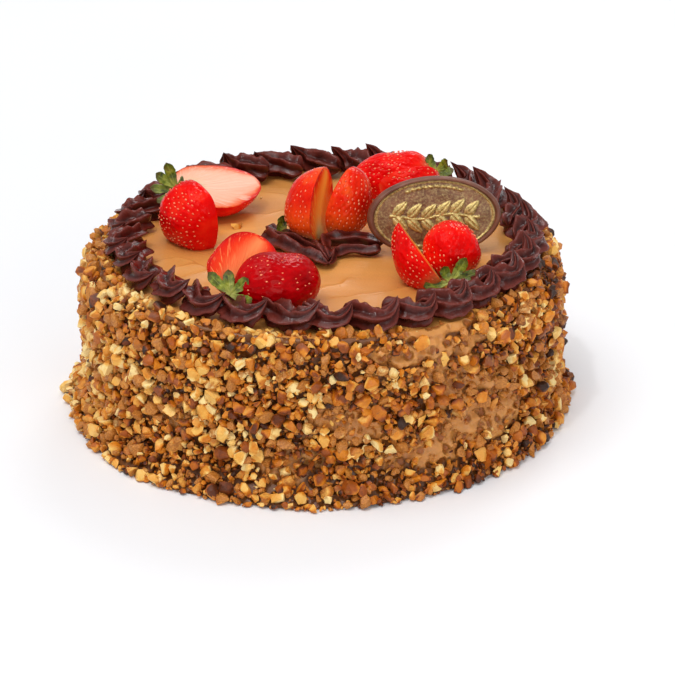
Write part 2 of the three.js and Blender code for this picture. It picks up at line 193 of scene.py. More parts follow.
# Patches of the wall where frosting shows: angle in degrees, height, half width in degrees, half height
# and the share of the nuts that is missing. Their edges are ragged and fade from the outside in, and
# the shade under the nuts clears faster than the nuts thin out.
BARE_RAGGEDNESS = 0.35
BARE_RAGGED_SIZE = 9
BARE_RAGGED_SEED = 31
BARE_FADES = (1.35, 0.55)
LIT_WHERE_BARE = 1.6
BARE_PATCHES = (
    (-58, 68.5, 12, 3, 1.0),
    (-63, 61, 17, 4.5, 0.95),
    (-58, 52, 10, 6, 0.65),
    (-50, 40, 13, 8, 0.78),
    (-47, 22, 17, 9, 0.88),
    (-63, 18, 13, 7, 0.75),
    (-84, 34, 10, 11, 0.6),
    (-96, 16, 10, 7, 0.5),
    (-128, 30, 9, 9, 0.45),
    (-30, 32, 12, 10, 0.55),
    (20, 40, 16, 9, 0.5),
    (75, 30, 18, 8, 0.5),
    (130, 45, 16, 8, 0.5),
    (175, 25, 14, 8, 0.45),
)

# Where a nut has come off the frosting it leaves a hollow, this far from the next
HOLLOW_SPACING = 5.2

# Piped border: each turn starts blunt and low on the inside, swings out over the edge and comes back
# into a thin raised peak. Its course is forwards, outwards and up from its place, and its radius.
BORDER_RADIUS = 86
BORDER_TURNS = 30
TURN_COURSE = (
    (-3.2, -5.2, 4.4, 5.0),
    (0.6, -4.0, 5.0, 6.3),
    (5.2, -0.2, 5.2, 7.0),
    (9.6, 3.4, 5.0, 6.6),
    (13.4, 4.6, 6.2, 5.2),
    (16.8, 3.2, 9.2, 3.2),
    (19.6, 0.6, 13.0, 0.4),
)
ROWS_IN_TURN = 38

# The share of a turn's course over which its blunt start rounds off and the limit that keeps its first
# ring open, how far its peak is drawn out, and how far a blunt end stands out
BLUNT_START = 0.13
BLUNT_LIMIT = 0.98
PEAK_REACH = 0.8
BLUNT_REACH = 0.1

# How the turns differ: least and most length along the ring, then the least and the most swing,
# height, girth and shift outwards, and the most twist of a whole turn and from its start to its peak
TURN_LENGTHS = (0.88, 1.12)
LEAST_TURN = (0.8, 0.88, 0.92, -0.9)
LARGEST_TURN = (1.15, 1.12, 1.06, 0.9)
TURN_TWIST = 0.5
PEAK_TWIST = 0.6

# The border is taller at the back right, where it also lies further out
TALLEST_AZIMUTH = 30
TALLER_THERE = 0.16
OUTWARD_WHERE_TALLER = 9

# Lumps of the turns and of the rope's strands: height, distance from one to the next and seed, and
# the radius at which they have that height
TURN_LUMPS = ((0.5, 9, 41), (0.25, 4, 42))
TURN_LUMP_RADIUS = 5
STRAND_LUMPS = (0.45, 7, 50)
STRAND_LUMP_RADIUS = 3

# How piped chocolate lies: how far it sinks into the frosting, how far inside the rounded edge it starts
# to fall and how steeply, and the share that is left of what would sink deeper
PIPED_SINK = 0.1
EDGE_OVERHANG = 3
EDGE_FALL = 0.35
SINKING_LEFT = 0.12

# Star-shaped section of the turns and of the strands: its ridges, the depth of its grooves as a share
# of the radius, and its corners. A lower roundness makes sharper ridges.
BORDER_STAR = (6, 0.46, 70)
ROPE_STAR = (4, 0.34, 60)
RIDGE_ROUNDNESS = 0.7

# Strands of the rope in the middle: where each runs, how high its middle lies, and its radius in equal
# steps along it. Their ends round off but stay open, they ripple up and down, and their ridges twist.
ROPE_ROWS = 84
ROPE_END = 0.05
ROPE_END_LIMIT = 0.97
ROPE_TWIST = 0.5
ROPE_TWIST_START = -0.26
ROPE_RIPPLE = 0.4
ROPE_RIPPLES = 17
ROPE_STRANDS = (
    (((-25.5, 7.5), (-21.5, 1.5), (-17.5, -4), (-10.3, -11.5), (-3.2, -19.5), (2.2, -25)),
     3.0, (2.6, 4.2, 4.4, 4.2, 4.2, 1.6)),
    (((-24.5, 9.5), (-18, 3.5), (-11.5, -1.5), (-5, -8.5), (-0.5, -16.5), (2.4, -23.5)),
     4.2, (2.4, 3.6, 3.4, 3.0, 3.0, 1.2)),
    (((3, -23.5), (1.4, -15), (0.4, -7.5), (3, -2.5), (8.5, -0.8), (15, -1.2), (21, -3.2), (26, -5.5)),
     4.4, (1.2, 2.8, 3.3, 3.5, 3.2, 3.0, 3.0, 2.2)),
    (((2.9, -24.5), (3.8, -19), (4.8, -13), (9.5, -10.2), (16.5, -9.6), (25, -9.2)),
     2.6, (1.2, 2.7, 2.9, 2.8, 2.7, 2.0)),
)

# Strawberry pieces: node, stem end, tip, radius, the way the cut side faces, how far the cut lies
# beyond the axis, how blunt the tip is, and the looks of skin and flesh
BERRIES = (
    ("strawberry_left_back", (-64, 27.2, 85.8), (-28.6, 46.8, 81.4), 14.4, (0.1, -0.36, 0.93), 0, 0.5,
     "red", "pale"),
    ("strawberry_left_front", (-63.6, 16.8, 83.6), (-46.2, -6.8, 80.2), 15.4, (0.35, 0.9, 0.1), 0.1, 1.3,
     "red", "pale"),
    ("strawberry_front_back", (-38, -69.5, 76.5), (-24.5, -52.5, 96), 14.5, (0.15, -0.85, 0.4), 0, 1,
     "red", "ripe"),
    ("strawberry_front_round", (-34.8, -70.4, 80.4), (-1.2, -55, 78.5), 14.2, (-0.1, 0.9, 0.05), 0.25, 0.7,
     "dark", "ripe"),
    ("strawberry_centre_left", (-2, 0.5, 71.5), (1, 12.8, 102), 16.2, (0.95, -0.31, 0), 0, 0.4,
     "orange", "orange"),
    ("strawberry_centre_right", (4.8, 8.3, 71.8), (13.2, 16, 101), 12.3, (-0.8, 0.55, 0.1), 0, 0.7,
     "orange", "orange"),
    ("strawberry_back_upper", (49.5, 59.8, 80.6), (12, 62.3, 75.9), 12.2, (0, 0.62, -0.78), 0, 0.6,
     "red", "ripe"),
    ("strawberry_back_lower", (51.5, 50, 80.8), (24.5, 43, 82.5), 12.2, (0, 0.85, 0.5), 0, 0.6,
     "red", "ripe"),
    ("strawberry_right_left", (50.4, -45.6, 72.8), (32, -25.3, 91.8), 13, (0.85, 0.05, 0.42), 0, 0,
     "red", "orange"),
    ("strawberry_right_round", (56, -36.3, 71.4), (52.2, -21.8, 91.4), 12.3, (-0.15, 0.95, 0.2), 0.15, 0.8,
     "red", "ripe"),
)
BERRY_ROWS = 84
SKIN_COLUMNS = 88
CUT_COLUMNS = 34

# Form of a strawberry: where it is widest, as a share of its length, the two powers of the curve from
# there to the tip, each for a pointed and for a blunt one, the furthest that a cut lies beyond the
# axis in radians, its lumps, how far the cut side bulges and from which share of the radius on, and
# the share of the length from which the fibres fan out
BERRY_HEART = 0.36
BERRY_TIP_FULLNESS = (1.9, 2.8)
BERRY_TIP_ROUNDNESS = (0.62, 0.48)
BERRY_CUT_LIMIT = 1.2
BERRY_LUMP_SHARE = 0.03
BERRY_LUMP_SIZE = 16
CUT_BULGE = 0.35
BULGE_FULL_FROM = 0.25
FAN_START = 0.02

# Shares of the length at the stem and at the tip where the rim's colour closes over the cut
CUT_RIM_SHARES = (0.1, 0.07)

# Seeds: distance from one to the next, the share of it between rows, the first and last row, least and
# most length, how far they stray along and round the strawberry, how far from the cut they start, the
# share of the skin beyond the axis that they cover, the least radius that a row is counted on, how
# many are left on each kind of skin, and the rings, fullness, breadth and thickness of one
SEED_SPACING = 2.65
SEED_ROW_STEP = 0.8
SEED_ROWS = (0.07, 0.97)
SEED_LENGTHS = (0.8, 1.35)
SEED_STRAY_ALONG = 0.014
SEED_STRAY_ROUND = 0.24
SEED_FROM_CUT = 0.06
SEEDS_TO_CUT = 0.9
SEED_ROW_LEAST_RADIUS = 0.5
SEEDS_KEPT = {"red": 0.92, "dark": 0.4, "orange": 0.85}
SEED_RINGS = (0.12, 0.38, 0.68, 0.9)
SEED_SIDES = 7
SEED_FULLNESS = 0.8
SEED_BREADTH = 0.62
SEED_THICKNESS = 0.5

# The pit round a seed, how it is stretched along the strawberry, the share of its depth that the seed
# lies below the skin, and the step along the strawberry over which the skin's slope is taken
DIMPLE_WIDTH = 0.85
DIMPLE_STRETCH = 0.6
DIMPLE_DEPTH = 0.42
SEED_SINK = 0.75
SLOPE_STEP = 0.02

# A leaf: its fold along the midrib, which opens over its first part and eases towards the tip, its
# thickness, which thins to its edge and its tip, its outline as shares of its length with the shares
# of its width there, its rise in millimetres at shares of its length, the teeth of its edge, its
# ripple, and its midrib and side veins. A pace is in radians over the whole length.
LEAF_ROWS = 34
LEAF_COLUMNS = 17
LEAF_WIDTH = 4.9
LEAF_FOLD = 0.7
FOLD_POWER = 1.3
FOLD_OPENS = 0.25
FOLD_EASES = 0.6
LEAF_CURL = 1.7
LEAF_THICKNESS = 0.45
EDGE_THINNING = 0.6
TIP_THINNING = 6
THINNEST_TIP = 0.3
LEAF_OUTLINE = ((0, 0.2, 0.5, 0.75, 0.92, 1), (0.3, 0.5, 0.88, 1, 0.62, 0.05))
LEAF_RISE = ((0, 0.2, 0.5, 0.8, 1), (0, -0.3, -0.5, 0.5, LEAF_CURL))
TOOTH_DEPTH = 0.07
TOOTH_PACE = 30
TEETH_SET_IN = (0.2, 0.5)
RIPPLE_HEIGHT = 0.3
RIPPLE_PACE = 11
RIPPLE_SLANT = 2
MIDRIB_WIDTH = 0.09
VEIN_PACE = 16
VEIN_SLANT = 3.4
VEIN_EDGES = (0.25, 0.05)
SIDE_VEIN_SHARE = 0.55
UNDERSIDE_VEIN_SHARE = 0.5

# Tufts: node, hub, the way the upper face looks, and each leaf's direction and length
CALYXES = (
    ("leaves_left", (-64.3, 26.4, 86.3), (-0.3, -0.6, 0.8), (
        ((-4, 1.5, 10.6), 12.5),
        ((-8, 2, 4.5), 11),
        ((-10, 1, -1.5), 11.5),
        ((-7.5, -5, -6), 11.2),
        ((5, -2, 6), 7),
    )),
    ("leaves_front", (-37, -74, 79.4), (0.1, -0.8, 0.6), (
        ((-8.4, 2, 7.5), 13),
        ((-1.4, 9.5, 6), 11),
        ((6.7, 0.5, 6), 10.5),
        ((9.5, -8.5, -0.5), 13),
    )),
    ("leaves_back", (50.2, 58.2, 82.8), (0.2, -0.6, 0.8), (
        ((-0.55, 0.3, 0.85), 8.5),
        ((0.75, -0.2, 0.75), 8.5),
        ((1, 0.6, -0.25), 8.5),
        ((0.6, -0.7, -0.5), 7.5),
    )),
    ("leaves_right", (53.2, -47.2, 74.2), (0.1, -0.7, 0.8), (
        ((0.55, 0.2, 0.75), 12.5),
        ((1, 0.25, 0.25), 12.5),
        ((-1, -0.35, -0.12), 12),
        ((-0.45, 0.35, 0.8), 7),
    )),
    ("leaf_centre", (-16.4, 5.4, 75.4), (0.2, -0.7, 0.7), (
        ((-0.3, 0.3, 0.9), 6.5),
        ((-0.9, -0.2, 0.5), 5),
    )),
)

# Plaque: an oval that leans back and is turned a little, both in radians, with a sunken field
PLAQUE_HALF_WIDTH = 29
PLAQUE_HALF_HEIGHT = 17.3
PLAQUE_THICKNESS = 5.6
PLAQUE_CENTRE = (47.6, -3.5, 86.2)
PLAQUE_LEAN = 0.2
PLAQUE_TURN = 0.13
PLAQUE_FIELD_DEPTH = 1.3
PLAQUE_COLUMNS = 300
BACK_RINGS = 10
EDGE_RINGS = 14
FRONT_RINGS = 120

# Shares of the plaque's half width: where its flat faces end, where the rim falls to the field, the
# fine raised line, the row of beads above and below, and where the ornament fades out. Heights are in
# millimetres.
FLAT_SHARE = 0.95
RIM_SHARES = (0.93, 0.9)
LINE_SHARE = 0.88
LINE_WIDTH = 0.013
LINE_HEIGHT = 0.6
BEAD_SHARE = 0.76
BEAD_WIDTH = 0.03
BEAD_PACE = 26
BEAD_ARC = 0.62
BEAD_ROUNDNESS = 0.8
BEAD_RISE = 0.8
ORNAMENT_FADES = (0.85, 0.79)
ORNAMENT_HEIGHT = 1.2
PLAQUE_LUMPS = (0.08, 7, 61)

# Shares at which the rings of the plaque's back start and those of its front start and end
BACK_START = 0.03
FRONT_SHARES = (0.955, 0.02)

# Gold dust: how much lies in the field, where the field's gold fades out, how much lies on what is
# raised, and how wide it lies on the fine line
GOLD_IN_FIELD = 0.4
GOLD_FIELD_FADES = (0.92, 0.88)
GOLD_ON_RELIEF = 0.95
GOLD_LINE_WIDTH = 0.018

# Sprig: wave, thickness, reach and height of its stem, the first pair of leaves, the step from pair to
# pair, where a leaf's middle lies from its foot, its tilt, its half length, half width and how it
# narrows, and the groove along it
STEM_WAVE = 0.9
STEM_PACE = 0.24
STEM_THICKNESS = 0.55
STEM_REACH = 19.5
STEM_SHARE = 0.6
SPRIG_PAIRS = 6
FIRST_PAIR = -17.5
PAIR_STEP = 6.2
SPRIG_LEAF_AHEAD = 2.8
SPRIG_LEAF_ASIDE = 3.3
SPRIG_LEAF_TILT = 0.8
SPRIG_LEAF_LENGTH = 4.3
SPRIG_LEAF_WIDTH = 2.1
SPRIG_LEAF_TAPER = 0.1
GROOVE_WIDTH = 0.3
GROOVE_DEPTH = 0.5

# Camera, fitted to the cake's outline: millimetres, degrees for its elevation and roll, and metres for
# the nearest and the furthest that it shows
CAMERA_DISTANCE = 1250
CAMERA_ELEVATION = 24.461
CAMERA_TARGET = (6.7, 0, 26.97)
CAMERA_ROLL = 0.523
CAMERA_LENS = 152.17
CAMERA_SENSOR = 36
CAMERA_CLIP = (0.05, 20)

# Lights: suns with the way they come from, their strength and their spread in degrees, and one soft
# lamp with its place in metres, its size and its watts, and the place that it looks at. The floor's
# half side and its distance below the cake are in metres too.
SUNS = (
    ("key", (-0.25, -0.15, 1.0), 1.5, 50),
    ("spark", (-0.3, -0.4, 1.0), 0.42, 3),
    ("back", (0.3, 1.0, 0.9), 0.5, 20),
)
SOFT_LAMP = ("fill", (0.5, -1.0, 0.5), 0.6, 3)
LAMP_TARGET = (0, 0, 0.05)
SKY_COLOUR = (0.96, 0.98, 1, 1)
SKY_STRENGTH = 0.5
FLOOR_REACH = 3.0
FLOOR_DROP = 0.0004


def unit(vectors):
    vectors = np.asarray(vectors, float)
    return vectors / np.linalg.norm(vectors, axis=-1, keepdims=True)


def waves(points, size, seed):
    """Smooth unevenness of about -1 to 1: a sum of sines that run in random directions, each with a
    wavelength near size."""
    draw = np.random.default_rng(seed)
    ways = unit(draw.normal(size=(WAVE_COUNT, 3))) / (size * draw.uniform(*WAVE_LENGTHS, (WAVE_COUNT, 1)))
    phases = draw.uniform(0, 2 * np.pi, WAVE_COUNT)
    total = np.sin(2 * np.pi * (np.asarray(points) @ ways.T) + phases).sum(axis=-1)
    return total * WAVE_GAIN / math.sqrt(WAVE_COUNT)


def smoothstep(low, high, value):
    """0 below low, 1 above high, and a smooth S between them."""
    share = np.clip((value - low) / (high - low), 0, 1)
    return share * share * (3 - 2 * share)


def polar(radius, angle, height):
    radius, angle, height = np.broadcast_arrays(radius, angle, height)
    return np.stack([radius * np.cos(angle), radius * np.sin(angle), height], -1)


def grid_faces(rows, columns, first=0):
    """Four-cornered faces between the rings of a grid. They look outwards where a ring runs
    counter-clockwise about the way the rings advance."""
    ring = np.arange(rows - 1)[:, None] * columns
    column = np.arange(columns)[None, :]
    beside = (column + 1) % columns
    corners = [ring + column, ring + beside, ring + columns + beside, ring + columns + column]
    return first + np.stack(corners, -1).reshape(-1, 4)


def end_fans(rows, columns, first_end, last_end, first=0):
    """Triangles that close a grid of rings at both ends, each to one point."""
    column = np.arange(columns)
    beside = (column + 1) % columns
    last_row = first + (rows - 1) * columns
    bottom = np.stack([np.full(columns, first_end), first + beside, first + column], -1)
    top = np.stack([np.full(columns, last_end), last_row + column, last_row + beside], -1)
    return np.concatenate([bottom, top])


def make_piece(name, points, faces, finishes, values=(), finish_of_face=None):
    """A smooth mesh object from an array of points in millimetres and a list of face arrays. values
    are numbers kept at the points for its materials."""
    mesh = bpy.data.meshes.new(name)
    corners = np.concatenate([group.ravel() for group in faces]).astype(np.int32)
    sizes = np.concatenate([np.full(len(group), group.shape[1]) for group in faces])
    mesh.vertices.add(len(points))
    mesh.loops.add(len(corners))
    mesh.polygons.add(len(sizes))
    mesh.vertices.foreach_set("co", (np.asarray(points) * MM).astype(np.float32).ravel())
    mesh.polygons.foreach_set("loop_start", (np.cumsum(sizes) - sizes).astype(np.int32))
    mesh.loops.foreach_set("vertex_index", corners)
    mesh.polygons.foreach_set("use_smooth", np.full(len(sizes), True))
    for finish in finishes:
        mesh.materials.append(finish)
    if finish_of_face is not None:
        mesh.polygons.foreach_set("material_index", finish_of_face.astype(np.int32))
    for label, numbers in dict(values).items():
        layer = mesh.attributes.new(label, "FLOAT", "POINT")
        layer.data.foreach_set("value", np.asarray(numbers, np.float32).ravel())
    mesh.update(calc_edges=True)
    mesh.validate()
    piece = bpy.data.objects.new(name, mesh)
    bpy.context.scene.collection.objects.link(piece)
    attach(piece, "root")
    return piece


class Reading:
    """A number that a shader works out, so that materials can be written as expressions."""

    def __init__(self, tree, socket):
        self.tree = tree
        self.socket = socket

    def combined(self, operation, *numbers):
        node = self.tree.nodes.new("ShaderNodeMath")
        node.operation = operation
        for place, number in enumerate(numbers):
            if isinstance(number, Reading):
                self.tree.links.new(number.socket, node.inputs[place])
            else:
                node.inputs[place].default_value = number
        return Reading(self.tree, node.outputs[0])

    def __add__(self, other):
        return self.combined("ADD", self, other)

    def __radd__(self, other):
        return self.combined("ADD", other, self)

    def __sub__(self, other):
        return self.combined("SUBTRACT", self, other)

    def __rsub__(self, other):
        return self.combined("SUBTRACT", other, self)

    def __mul__(self, other):
        return self.combined("MULTIPLY", self, other)

    def __rmul__(self, other):
        return self.combined("MULTIPLY", other, self)

    def between(self, low, high):
        """0 below low, 1 above high, and a smooth S between them."""
        node = self.tree.nodes.new("ShaderNodeMapRange")
        node.interpolation_type = "SMOOTHSTEP"
        self.tree.links.new(self.socket, node.inputs["Value"])
        node.inputs["From Min"].default_value = low
        node.inputs["From Max"].default_value = high
        return Reading(self.tree, node.outputs["Result"])


def linear(red, green, blue):
    """A colour as seen on a screen, 0 to 255 each, as the linear light that a shader takes."""
    shown = np.array([red, green, blue]) / 255
    light = np.where(shown <= 0.04045, shown / 12.92, ((shown + 0.055) / 1.055) ** 2.4)
    return (*light, 1)


class Finish:
    """A material round one Principled shader."""

    def __init__(self, name, **constants):
        self.material = bpy.data.materials.new(name)
        self.material.use_nodes = True
        self.tree = self.material.node_tree
        self.shader = self.tree.nodes["Principled BSDF"]
        for socket, value in constants.items():
            self.shader.inputs[socket.replace("_", " ")].default_value = value

    def node(self, kind, settings=(), sockets=(), output=0):
        """Any shader node: its settings are set first, then the values or links of its sockets."""
        node = self.tree.nodes.new(kind)
        for setting, value in dict(settings).items():
            if setting == "stops":
                self.set_stops(node.color_ramp, value)
            else:
                setattr(node, setting, value)
        for socket, value in dict(sockets).items():
            if isinstance(value, Reading):
                self.tree.links.new(value.socket, node.inputs[socket])
            else:
                node.inputs[socket].default_value = value
        return Reading(self.tree, node.outputs[output])

    @staticmethod
    def set_stops(ramp, stops):
        while len(ramp.elements) < len(stops):
            ramp.elements.new(1)
        for element, (place, colour) in zip(ramp.elements, stops):
            element.position = place
            element.color = colour

    def stored(self, name):
        return self.node("ShaderNodeAttribute", {"attribute_name": name}, (), "Fac")

    def place(self):
        return self.node("ShaderNodeTexCoord", (), (), "Object")

    def noise(self, size_mm, detail=2, rough=0.5, where=None, stretch=(1, 1, 1), distort=0.0):
        """Cloudy noise, 0 to 1, with blotches of about the size given."""
        spot = self.node("ShaderNodeMapping", (), {"Vector": where or self.place(), "Scale": stretch})
        return self.node("ShaderNodeTexNoise", (), {
            "Vector": spot, "Scale": 1 / (size_mm * MM), "Detail": detail, "Roughness": rough,
            "Distortion": distort,
        }, "Fac")

    def ramp(self, value, *stops):
        return self.node("ShaderNodeValToRGB", {"stops": stops}, {"Fac": value}, "Color")

    def mixed(self, one, other, share):
        return self.node("ShaderNodeMix", {"data_type": "RGBA"}, {6: one, 7: other, 0: share}, 2)

    def bump(self, height, depth_mm):
        return self.node("ShaderNodeBump", (), {
            "Height": height, "Distance": depth_mm * MM, "Strength": 1.0,
        }, "Normal")

    def feed(self, **links):
        for socket, value in links.items():
            self.tree.links.new(value.socket, self.shader.inputs[socket.replace("_", " ")])
        return self.material


# Materials

def caramel_frosting():
    """Smooth frosting with darker and lighter sweeps, long fine spatula lines, small air pits, painted shade
    beside the spatula's marks, hollows on the wall with painted shade in them, and painted shade under
    the nuts."""
    finish = Finish("caramel_frosting", Specular_IOR_Level=0.45, Subsurface_Weight=0.08,
                    Subsurface_Radius=(1, 0.5, 0.2), Subsurface_Scale=0.003)
    sweep = finish.noise(46, 3, 0.55, stretch=(0.5, 1.3, 1), distort=0.6)
    lines = finish.noise(3.2, 3, 0.6, stretch=(0.16, 1, 1), distort=1.6)
    speck = finish.noise(1.1, 2)
    pits = finish.noise(3.4, 1).between(0.7, 0.78)
    tone = 0.88 * (1 - sweep) + 0.04 * lines + 0.08 * speck
    colour = finish.ramp(
        tone,
        (0.3, linear(202, 134, 66)),
        (0.5, linear(214, 146, 74)),
        (0.7, linear(228, 160, 82)),
    )
    # Painted shade: a darker orange line beside the steep side of each spatula mark.
    ridge_shaded = finish.mixed(colour, linear(206, 118, 28), 0.85 * finish.stored("marked"))
    bent = finish.noise(6, 1)
    to_hollow = finish.node("ShaderNodeTexVoronoi", (), {
        "Vector": finish.place(), "Scale": 1 / (HOLLOW_SPACING * MM), "Randomness": 1.0,
    }, "Distance")
    # Painted shade: the hollows that fallen nuts left on the wall are darkened.
    hollow = (1 - (to_hollow + 0.5 * (bent - 0.5)).between(0.22, 0.5)) * finish.stored("wall")
    hollow_shaded = finish.mixed(ridge_shaded, linear(150, 76, 14), 0.85 * hollow)
    shaded = finish.mixed(hollow_shaded, linear(104, 56, 18), 0.9 * (1 - finish.stored("open")))
    relief = 0.1 * lines + 0.25 * speck - 0.4 * pits - 3 * hollow
    return finish.feed(Base_Color=shaded, Roughness=0.28 + 0.2 * sweep, Normal=finish.bump(relief, 0.4))


def chopped_nut():
    """Toasted pieces from pale cream to orange brown, each with its own tone, darker on patches of
    skin, and with frosting smeared on some. The tone also holds painted shade: darker for the smaller
    nuts that sit deeper and towards the right."""
    finish = Finish("chopped_nut", Specular_IOR_Level=0.4)
    cloud = finish.noise(2.6, 3, 0.6)
    grain = finish.noise(0.6, 2)
    flesh = finish.ramp(
        finish.stored("tone") + 0.34 * (cloud - 0.5),
        (0.0, linear(250, 221, 150)),
        (0.2, linear(239, 184, 88)),
        (0.42, linear(218, 131, 26)),
        (0.64, linear(168, 82, 8)),
        (0.84, linear(98, 42, 6)),
        (0.96, linear(54, 26, 8)),
    )
    smear = finish.ramp(grain, (0.3, linear(160, 90, 26)), (0.7, linear(208, 138, 60)))
    colour = finish.mixed(flesh, smear, (finish.stored("smeared") + 0.9 * (cloud - 0.5)).between(0.3, 0.6))
    return finish.feed(Base_Color=colour, Roughness=0.34 + 0.3 * grain,
                       Normal=finish.bump(0.6 * cloud + 0.4 * grain, 0.4))


def piped_chocolate():
    """Dark glossy frosting with fine drag lines and pits, painted lighter along its ridges as a highlight
    and darker in its grooves as shade.
    """
    finish = Finish("piped_chocolate", Specular_IOR_Level=0.22)
    crest = finish.stored("crest")
    cloud = finish.noise(7, 3, 0.6)
    fine = finish.noise(0.9, 3, 0.6)
    # Painted highlight on the ridges and painted shade in the grooves: the colour runs from the dark ramp in
    # the grooves to the light ramp on the crests.
    dark = finish.ramp(cloud, (0.3, linear(40, 9, 6)), (0.7, linear(78, 26, 20)))
    light = finish.ramp(fine, (0.2, linear(106, 40, 32)), (0.8, linear(150, 70, 58)))
    colour = finish.mixed(dark, light, 0.8 * crest)
    relief = 0.5 * fine + 0.5 * cloud
    return finish.feed(Base_Color=colour, Roughness=0.1 + 0.14 * fine, Normal=finish.bump(relief, 0.28))


# Low, middle and high red of each kind of skin, how pale its shoulder is, and how unripe it is there
SKIN_COLOURS = {
    "red": ((206, 4, 4), (234, 10, 8), (246, 44, 22)),
    "dark": ((156, 0, 4), (180, 1, 8), (204, 6, 14)),
    "orange": ((214, 14, 6), (232, 40, 12), (244, 92, 34)),
}
SHOULDER_PALENESS = {"red": 0.5, "dark": 0.0, "orange": 0.9}
UNRIPENESS = {"red": 0.0, "dark": 0.0, "orange": 0.5}


def strawberry_skin(look):
    """Wet red skin: darker and brighter clouds, a paler shoulder by the stem, and a shallow pit
    round each seed with painted shade at its bottom."""
    finish = Finish("strawberry_skin_" + look, Specular_IOR_Level=0.13, Specular_Tint=(1, 0.6, 0.55, 1))
    low, middle, high = (linear(*colour) for colour in SKIN_COLOURS[look])
    cloud = finish.noise(9, 3, 0.55)
    fine = finish.noise(0.8, 2)
    red = finish.ramp(cloud, (0.3, low), (0.5, middle), (0.72, high))
    along = finish.stored("along")
    unripe = UNRIPENESS[look] * (1 - (along + 0.3 * (cloud - 0.5)).between(0.1, 0.55))
    blushed = finish.mixed(red, linear(246, 112, 30), unripe)
    shoulder = 1 - along.between(0.0, 0.16)
    straw = finish.ramp(fine, (0.3, linear(232, 150, 84)), (0.7, linear(222, 190, 120)))
    shouldered = finish.mixed(blushed, straw, SHOULDER_PALENESS[look] * shoulder)
    # Painted shade: the skin is darkened towards the bottom of each seed's pit.
    colour = finish.mixed(shouldered, low, 0.2 * finish.stored("dimple"))
    ripple = finish.noise(2.4, 1)
    return finish.feed(Base_Color=colour, Roughness=0.07 + 0.07 * fine,
                       Normal=finish.bump(0.7 * ripple + 0.3 * fine, 0.2))


# Core, inner, outer and rim colour of each kind of flesh
FLESH_COLOURS = {
    "pale": ((236, 186, 158), (242, 172, 140), (240, 104, 52), (222, 30, 14)),
    "ripe": ((252, 140, 80), (240, 58, 16), (228, 28, 6), (206, 8, 4)),
    "orange": ((255, 176, 66), (250, 100, 20), (234, 36, 8), (214, 12, 6)),
}


def strawberry_flesh(look):
    """Cut flesh: pale in the middle, redder towards the skin, with light fibres that fan out from the
    stem end towards the skin."""
    finish = Finish("strawberry_flesh_" + look, Roughness=0.34, Specular_IOR_Level=0.16, Coat_Weight=0.06,
                    Coat_Roughness=0.15, Subsurface_Weight=0.1, Subsurface_Radius=(1, 0.4, 0.25),
                    Subsurface_Scale=0.002)
    core, inner, outer, rim = (linear(*colour) for colour in FLESH_COLOURS[look])
    edge = finish.stored("edge")
    fan = finish.stored("fan")
    along = finish.stored("along")
    spot = finish.node("ShaderNodeCombineXYZ", (), {
        "X": fan * (11 * MM), "Y": edge * (1.8 * MM), "Z": along * MM,
    })
    fibres = finish.noise(0.55, 2, 0.5, where=spot)
    cloud = finish.noise(5, 3, 0.6)
    redder = 0.86 * edge + 0.36 * along.between(0.4, 1.0) * edge
    depth = redder + 0.4 * (fibres - 0.5) * edge.between(0.1, 0.5) + 0.16 * (cloud - 0.5)
    colour = finish.ramp(depth, (0.1, core), (0.58, inner), (0.82, outer), (1.0, rim))
    streaks = 0.9 * fibres.between(0.52, 0.68) * edge.between(0.2, 0.5) * (1 - edge.between(0.7, 0.92))
    streaked = finish.mixed(colour, core, streaks)
    dashes = 0.7 * fibres.between(0.52, 0.66) * edge.between(0.55, 0.75) * (1 - edge.between(0.9, 0.97))
    dashed = finish.mixed(streaked, core, dashes)
    unripe = (1 - along.between(0.08, 0.42)) * (1 - edge.between(0.15, 0.6))
    colour = finish.mixed(dashed, linear(206, 192, 132), 0.85 * unripe)
    return finish.feed(Base_Color=colour, Normal=finish.bump(0.7 * fibres + 0.3 * cloud, 0.4))


def strawberry_seed():
    """Orange to straw, from one part of a strawberry to the next."""
    finish = Finish("strawberry_seed", Roughness=0.35, Specular_IOR_Level=0.4)
    cloud = finish.noise(3.5, 2)
    colour = finish.ramp(cloud, (0.3, linear(242, 84, 50)), (0.7, linear(253, 168, 120)))
    return finish.feed(Base_Color=colour, Normal=finish.bump(finish.noise(0.3, 1), 0.05))


def strawberry_leaf():
    """Fresh green in darker and yellower clouds, lighter along the veins, yellower towards the hub, and
    brown at the tip."""
    finish = Finish("strawberry_leaf", Specular_IOR_Level=0.45, Coat_Weight=0.1, Subsurface_Weight=0.1,
                    Subsurface_Radius=(0.4, 1, 0.2), Subsurface_Scale=0.002)
    vein = finish.stored("vein")
    along = finish.stored("along")
    cloud = finish.noise(3, 3, 0.6)
    fine = finish.noise(0.5, 2)
    green = finish.ramp(
        cloud,
        (0.3, linear(36, 46, 8)),
        (0.45, linear(94, 106, 14)),
        (0.58, linear(132, 140, 28)),
        (0.75, linear(178, 180, 78)),
    )
    lighter = finish.mixed(green, linear(196, 204, 104), 0.35 * vein)
    based = finish.mixed(lighter, linear(190, 186, 92), 0.6 * (1 - along.between(0.05, 0.4)))
    colour = finish.mixed(based, linear(70, 46, 16), 0.8 * (along + 0.9 * (cloud - 0.5)).between(0.76, 0.94))
    return finish.feed(Base_Color=colour, Roughness=0.4 + 0.2 * fine,
                       Normal=finish.bump(0.5 * fine + 0.5 * cloud - 0.6 * vein, 0.25))


